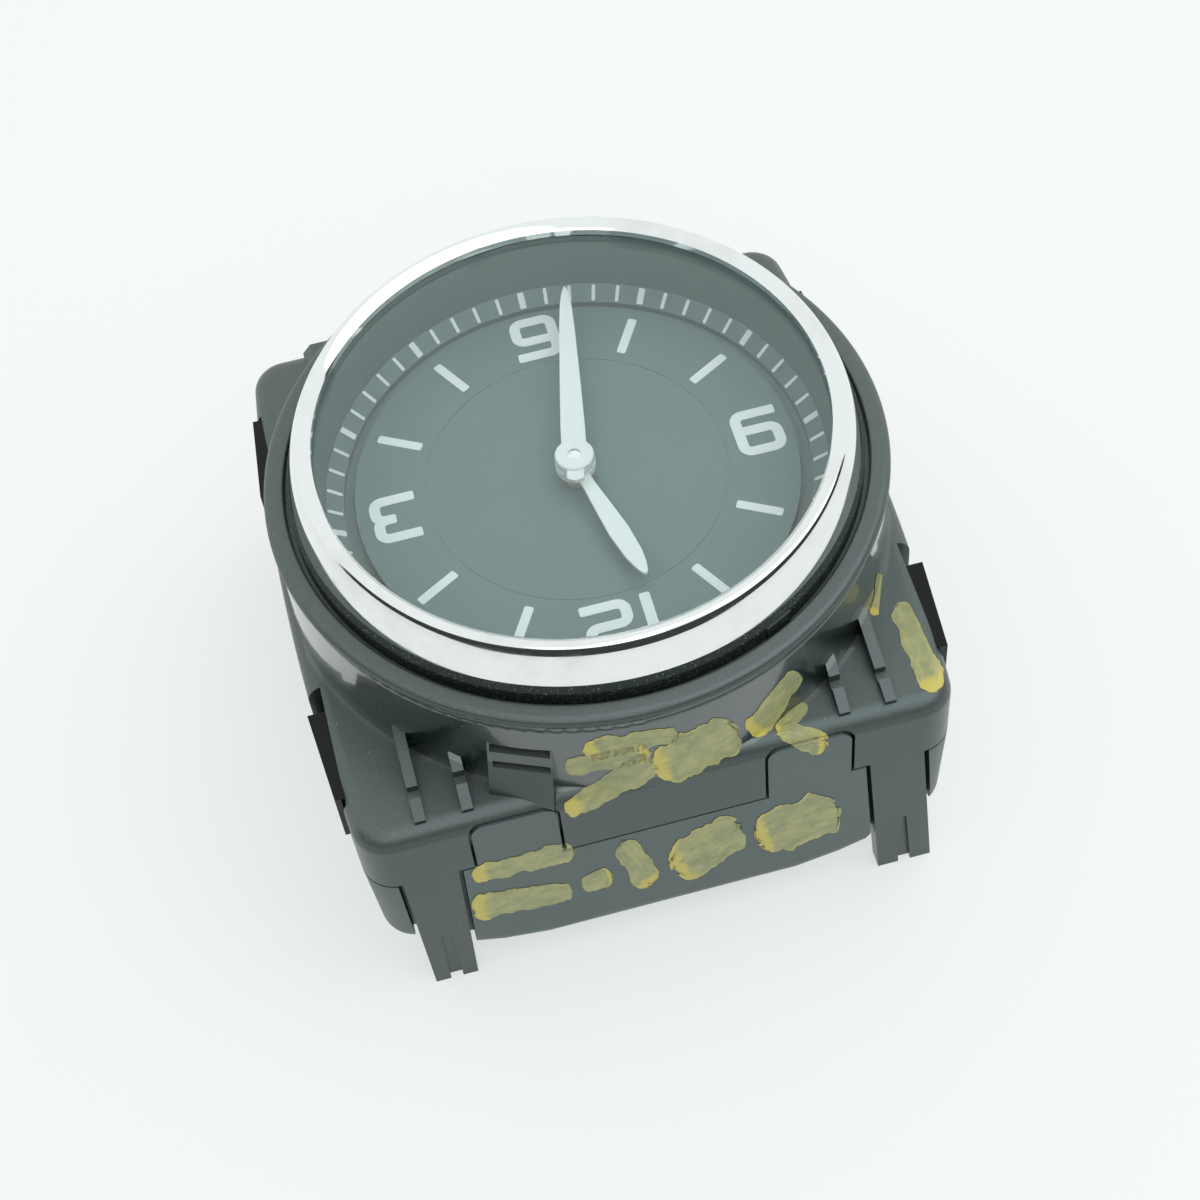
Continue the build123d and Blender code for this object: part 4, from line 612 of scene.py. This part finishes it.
def marks_tree():
    """Geometry: rounded bars set round the dial like rays, some of them left out."""
    tree = bpy.data.node_groups.new("dial_marks", "GeometryNodeTree")
    socket_in(tree, "Geometry", "NodeSocketGeometry")
    socket_in(tree, "Count", "NodeSocketInt", 12)
    socket_in(tree, "Leave Out Every", "NodeSocketInt", 0)
    for name in ("Radius", "Height", "Tilt", "Length", "Width", "Corner", "Thickness"):
        socket_in(tree, name, "NodeSocketFloat", 0.0)
    socket_in(tree, "Material", "NodeSocketMaterial")
    socket_out(tree, "Geometry", "NodeSocketGeometry")
    nodes = Nodes(tree)
    given = nodes.add("NodeGroupInput").outputs
    ring = nodes.add("GeometryNodeMeshCircle", inputs={
        "Vertices": given["Count"], "Radius": given["Radius"]})
    lift = nodes.add("ShaderNodeCombineXYZ", inputs={"Z": given["Height"]})
    lifted = nodes.add("GeometryNodeSetPosition", inputs={
        "Geometry": ring.outputs["Mesh"], "Offset": lift.outputs["Vector"]})
    index = nodes.add("GeometryNodeInputIndex").outputs["Index"]
    angle = nodes.math("DIVIDE", nodes.math("MULTIPLY", index, 2 * math.pi), given["Count"])
    turn = nodes.add("ShaderNodeCombineXYZ", inputs={
        "Y": nodes.math("MULTIPLY", given["Tilt"], -1.0), "Z": angle})
    kept = nodes.math("GREATER_THAN", nodes.math("MODULO", index, given["Leave Out Every"]), 0.5)
    all_kept = nodes.math("LESS_THAN", given["Leave Out Every"], 0.5)
    shape = nodes.add("GeometryNodeCurvePrimitiveQuadrilateral", inputs={
        "Width": given["Length"], "Height": given["Width"]})
    rounded = nodes.add("GeometryNodeFilletCurve", inputs={
        "Curve": shape.outputs["Curve"], "Radius": given["Corner"]})
    rounded.mode = "POLY"
    rounded.inputs["Count"].default_value = MARK_CORNER_POINTS
    filled = nodes.add("GeometryNodeFillCurve", inputs={"Curve": rounded.outputs["Curve"]})
    filled.mode = "NGONS"
    raised = nodes.add("GeometryNodeExtrudeMesh", inputs={
        "Mesh": filled.outputs["Mesh"], "Offset Scale": given["Thickness"]})
    placed = nodes.add("GeometryNodeInstanceOnPoints", inputs={
        "Points": lifted.outputs["Geometry"], "Instance": raised.outputs["Mesh"],
        "Selection": nodes.math("MAXIMUM", kept, all_kept), "Rotation": turn.outputs["Vector"]})
    real = nodes.add("GeometryNodeRealizeInstances", inputs={"Geometry": placed.outputs["Instances"]})
    painted = nodes.add("GeometryNodeSetMaterial", inputs={
        "Geometry": real.outputs["Geometry"], "Material": given["Material"]})
    result = nodes.add("NodeGroupOutput")
    nodes.put(result.inputs["Geometry"], painted.outputs["Geometry"])
    return tree


def grown(name, tree, slot_name, **values):
    """A piece made by a geometry tree, turned into a plain mesh."""
    piece = mesh_piece(name, [(0, 0, 0)], [])
    modifier = piece.modifiers.new("grow", "NODES")
    modifier.node_group = tree
    for item in tree.interface.items_tree:
        key = item.name.replace(" ", "_")
        if item.in_out == "INPUT" and key in values:
            modifier[item.identifier] = values[key]
    bpy.context.view_layer.update()
    graph = bpy.context.evaluated_depsgraph_get()
    mesh = bpy.data.meshes.new_from_object(piece.evaluated_get(graph))
    piece.modifiers.clear()
    piece.data = mesh
    finish_piece(piece, slot_name)


def dial_marks():
    """Hour bars on the dial, and minute marks on the sloping ring."""
    tree = marks_tree()
    white = FINISH["hand_white"]
    grown("hour_marks", tree, "hand_white", Count=12, Leave_Out_Every=3,
          Radius=(HOUR_MARK["outer"] + HOUR_MARK["inner"]) / 2, Height=DIAL_TOP, Tilt=0.0,
          Length=HOUR_MARK["outer"] - HOUR_MARK["inner"], Width=HOUR_MARK["width"],
          Corner=HOUR_MARK["corner"], Thickness=PRINT_THICKNESS, Material=white)
    run = TRACK_TOP["radius"] - TRACK_FOOT["radius"]
    climb = TRACK_TOP["rise"] - TRACK_FOOT["rise"]
    slope = {
        "Radius": (TRACK_TOP["radius"] + TRACK_FOOT["radius"]) / 2,
        "Height": DIAL_TOP + (TRACK_TOP["rise"] + TRACK_FOOT["rise"]) / 2,
        "Tilt": math.atan2(climb, run), "Length": math.hypot(run, climb),
        "Corner": TRACK_CORNER, "Thickness": PRINT_THICKNESS, "Material": white,
    }
    grown("minute_marks", tree, "hand_white", Count=60, Leave_Out_Every=5, Width=MINUTE_WIDTH, **slope)
    grown("five_minute_marks", tree, "hand_white", Count=12, Leave_Out_Every=0, Width=FIVE_MINUTE_WIDTH,
          **slope)


def curve_points(points, first_way, last_way):
    """A smooth curve through points that leaves and ends in given directions."""
    ways = [Vector(first_way).normalized() * (Vector(points[1]) - Vector(points[0])).length]
    for before, after in zip(points, points[2:]):
        ways.append((Vector(after) - Vector(before)) / 2)
    ways.append(Vector(last_way).normalized() * (Vector(points[-1]) - Vector(points[-2])).length)
    curve = []
    for index in range(len(points) - 1):
        start, stop = Vector(points[index]), Vector(points[index + 1])
        for step in range(BEZEL_STEPS):
            s = step / BEZEL_STEPS
            curve.append(start * (2 * s ** 3 - 3 * s ** 2 + 1) + ways[index] * (s ** 3 - 2 * s ** 2 + s)
                         + stop * (3 * s ** 2 - 2 * s ** 3) + ways[index + 1] * (s ** 3 - s ** 2))
    return curve + [Vector(points[-1])]


def polished_bezel():
    """The chrome ring, turned finely enough to mirror cleanly."""
    crown = curve_points(BEZEL_CROWN, (1, 1), Vector(BEZEL_FOOT) - Vector(BEZEL_CROWN[-1]))
    outline = [*crown, Vector(BEZEL_FOOT), *(Vector(point) for point in BEZEL_SKIRT)]
    outline = [Vector((radius, DIAL_TOP / MM + rise)) * MM for radius, rise in outline]
    count = len(outline)
    corners, faces = [], []
    for turn in range(BEZEL_TURNS):
        angle = 2 * math.pi * turn / BEZEL_TURNS
        corners.extend((point.x * math.cos(angle), point.x * math.sin(angle), point.y) for point in outline)
    for turn in range(BEZEL_TURNS):
        here, there = turn * count, (turn + 1) % BEZEL_TURNS * count
        faces.extend((here + spot, here + (spot + 1) % count, there + (spot + 1) % count, there + spot)
                     for spot in range(count))
    piece = mesh_piece("polished_bezel", corners, faces, smooth=True)
    sharp = set(range(len(crown), count)) | {0}
    for edge in piece.data.edges:
        first, second = edge.vertices
        edge.use_edge_sharp = first % count == second % count and first % count in sharp
    shape = bmesh.new()
    shape.from_mesh(piece.data)
    bmesh.ops.recalc_face_normals(shape, faces=shape.faces)
    shape.to_mesh(piece.data)
    shape.free()
    finish_piece(piece, "chrome_plating")
    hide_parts("chrome_bezel")


def sight(across, down):
    """Direction in which the camera sees a point of the photograph."""
    reach = math.tan(CAMERA_ANGLE / 2)
    middle = PHOTO_SIZE / 2
    x, y = (across - middle) / middle * reach, (middle - down) / middle * reach
    return CAMERA_TURN @ Vector((x, y, -1.0)).normalized()


def painted_faces():
    """The faces that the paint lies on, as a tree for rays."""
    corners, faces = [], []
    for name in PAINTED_NODES:
        mesh = NODES[name].data
        first = len(corners)
        corners.extend(vertex.co.copy() for vertex in mesh.vertices)
        faces.extend([first + corner for corner in face.vertices] for face in mesh.polygons)
    return BVHTree.FromPolygons(corners, faces)


def rounded_end(from_middle, length, half):
    """Share of its width that a dab keeps at a distance from its middle."""
    reach = END_REACH * half
    past = max(0.0, from_middle - length / 2 + reach) / reach
    return (1 - min(past, 1.0) ** END_SHAPE) ** 0.5


def ragged(run, seed, side):
    """Share by which a dab's edge strays from its even width."""
    return sum((rag["depth"] * noise.noise(Vector((run / rag["length"], seed + rag["seed"], side)))
                for rag in RAGS), 1)


def combed(edge, half, seed):
    """How far a dab's ends reach out or draw back at a place across it."""
    place = Vector((edge * half / COMB["width"], seed + COMB["seed"], 1.0))
    return COMB["depth"] * half * noise.noise(place)


def paint_face(corners, faces, ring):
    """Adds a face of paint that looks at the camera, unless it bridges a step in the surface."""
    if max((corners[ring[turn]] - corners[ring[turn - 1]]).length for turn in range(4)) > LARGEST_EDGE:
        return
    across = (corners[ring[2]] - corners[ring[0]]).cross(corners[ring[3]] - corners[ring[1]])
    faces.append(ring if across.dot(CAMERA_PLACE - corners[ring[0]]) > 0 else ring[::-1])


def daub(surface, corners, places, faces, stroke):
    """Adds one dab of paint, which follows the surface, ragged at its edge and thicker at its end."""
    start, stop, first_half, last_half, seed = stroke
    start, stop = Vector(start), Vector(stop)
    along = (stop - start).normalized()
    side = Vector((-along.y, along.x))
    length = (stop - start).length
    steps = max(int(length / DAUB_STEP), LEAST_STEPS)
    found = {}
    for step in range(steps + 1):
        share = step / steps
        half = first_half + (last_half - first_half) * share
        rounding = rounded_end(abs(share - 0.5) * length, length, half)
        for place in range(-DAUB_SPLITS, DAUB_SPLITS + 1):
            edge = place / DAUB_SPLITS
            reach = share * length + combed(edge, half, seed) * abs(2 * share - 1)
            out = edge * half * rounding * ragged(share * length, seed, 2 * (edge > 0))
            spot = start + along * reach + side * out
            hit, normal, _, _ = surface.ray_cast(CAMERA_PLACE, sight(spot.x, spot.y))
            if hit is None:
                continue
            if normal.dot(CAMERA_PLACE - hit) < 0:
                normal = -normal
            found[step, place] = len(corners)
            corners.append(hit + normal * PAINT_THICKNESS)
            load = max(share ** 3, EDGE_LOAD * abs(edge) ** 6)
            places.append((share * length * PIXEL, (edge * half + STREAK_SHIFT * seed) * PIXEL, load))
    for step in range(steps):
        for place in range(-DAUB_SPLITS, DAUB_SPLITS):
            keys = [(step, place), (step + 1, place), (step + 1, place + 1), (step, place + 1)]
            if all(key in found for key in keys):
                paint_face(corners, faces, [found[key] for key in keys])


def paint_daubs():
    """Dabs of yellow paint on the shelf, the barrel and the front."""
    surface = painted_faces()
    corners, places, faces = [], [], []
    for stroke in DAUBS:
        daub(surface, corners, places, faces, stroke)
    piece = mesh_piece("paint_daubs", corners, faces, smooth=True)
    stored = piece.data.attributes.new("stroke_place", "FLOAT_VECTOR", "POINT")
    for index, place in enumerate(places):
        stored.data[index].vector = place
    shape = bmesh.new()
    shape.from_mesh(piece.data)
    loose = [vertex for vertex in shape.verts if not vertex.link_faces]
    bmesh.ops.delete(shape, geom=loose, context="VERTS")
    bmesh.ops.dissolve_degenerate(shape, dist=SMALLEST_EDGE, edges=shape.edges)
    shape.to_mesh(piece.data)
    shape.free()
    finish_piece(piece, PAINT_SLOT, "marker_paint")


def camera():
    """The photograph's camera."""
    data = bpy.data.cameras.new("camera")
    data.angle = CAMERA_ANGLE
    data.clip_start = NEAREST_SEEN
    seen_from = bpy.data.objects.new("camera", data)
    bpy.context.scene.collection.objects.link(seen_from)
    seen_from.location = CAMERA_PLACE
    seen_from.rotation_mode = "QUATERNION"
    seen_from.rotation_quaternion = CAMERA_TURN
    bpy.context.scene.camera = seen_from


def area_light(name, place, size, power):
    """A soft square lamp that points at the clock."""
    data = bpy.data.lights.new(name, "AREA")
    data.shape = "SQUARE"
    data.size = size
    data.energy = power
    lamp = bpy.data.objects.new(name, data)
    bpy.context.scene.collection.objects.link(lamp)
    lamp.location = place
    lamp.rotation_mode = "QUATERNION"
    lamp.rotation_quaternion = (Vector(LAMP_TARGET) - Vector(place)).to_track_quat("-Z", "Y")


def pale_surround():
    """Even light from all round, brighter to the camera and in mirrors, and through the lens."""
    world = bpy.data.worlds.new("studio")
    bpy.context.scene.world = world
    world.use_nodes = True
    nodes = Nodes(world.node_tree)
    background = world.node_tree.nodes["Background"]
    path = nodes.add("ShaderNodeLightPath").outputs
    seen = nodes.math("MAXIMUM", path["Is Camera Ray"], path["Is Glossy Ray"])
    background.inputs["Color"].default_value = rgb(SURROUND_TONE)
    lit = nodes.math("ADD", nodes.ramp(seen, 0.0, 1.0, SOFT_LIGHT, 1.0),
                     nodes.math("MULTIPLY", path["Is Transmission Ray"], THROUGH_LENS_LIGHT))
    nodes.put(background.inputs["Strength"], lit)


def mottled(name, first_tone, second_tone, scale, roughness):
    """A faintly mottled material for the studio, with its nodes and shader."""
    material, nodes, shader = new_material(name, Roughness=roughness)
    place = nodes.add("ShaderNodeTexCoord").outputs["Object"]
    tone = nodes.mix(nodes.noise(scale, 3.0, 0.5, place), rgb(first_tone), rgb(second_tone))
    nodes.put(shader.inputs["Base Color"], tone)
    return material, nodes, shader


def dark_card():
    """The dark side of the room round the camera, which the polished rim mirrors as a thin line."""
    first, last = math.radians(DARK_SIDE["from"]), math.radians(DARK_SIDE["to"])
    vertices, faces = [], []
    for step in range(DARK_SIDE["splits"] + 1):
        angle = first + (last - first) * step / DARK_SIDE["splits"]
        x, y = DARK_SIDE["away"] * math.cos(angle), DARK_SIDE["away"] * math.sin(angle)
        vertices.extend((x, y, level) for level in (DARK_SIDE["foot"], DARK_SIDE["top"]))
    for step in range(DARK_SIDE["splits"]):
        faces.append((2 * step, 2 * step + 1, 2 * step + 3, 2 * step + 2))
    card = mesh_piece("dark_card", vertices, faces)
    card.visible_camera = False
    material, _, _ = mottled("card_cloth", (0.03, 0.035, 0.035), (0.05, 0.055, 0.055), 20.0, 0.9)
    card.data.materials.append(material)


def pale_floor():
    """A plain floor whose shadow the camera sees weakly, as against a bright ground."""
    reach = FLOOR_REACH
    corners = [(-reach, -reach, 0), (reach, -reach, 0), (reach, reach, 0), (-reach, reach, 0)]
    floor = mesh_piece("floor", corners, [(0, 1, 2, 3)])
    material, nodes, shader = mottled("pale_floor", (0.90, 0.93, 0.925), (0.92, 0.945, 0.94), 12.0, 0.6)
    shown = nodes.add("ShaderNodeEmission", inputs={"Color": rgb(FLOOR_GLOW), "Strength": 1.0})
    pale = nodes.add("ShaderNodeMixShader")
    path = nodes.add("ShaderNodeLightPath").outputs
    seen = nodes.math("ADD", path["Is Camera Ray"], path["Is Glossy Ray"], clamp=True)
    nodes.put(pale.inputs[0], nodes.math("MULTIPLY", seen, FLOOR_PALENESS))
    nodes.put(pale.inputs[1], shader.outputs["BSDF"])
    nodes.put(pale.inputs[2], shown.outputs["Emission"])
    nodes.put(material.node_tree.nodes["Material Output"].inputs["Surface"], pale.outputs["Shader"])
    floor.data.materials.append(material)


def studio():
    """A pale surround, soft lamps, a dark card and a pale floor."""
    pale_surround()
    for name, lamp in LAMPS.items():
        area_light(name, **lamp)
    dark_card()
    pale_floor()


def render_settings():
    """Colours go to the picture as they are, without a film curve."""
    bpy.context.scene.view_settings.view_transform = "Standard"


dress_nodes()
polished_bezel()
numerals()
dial_marks()
paint_daubs()
camera()
studio()
render_settings()
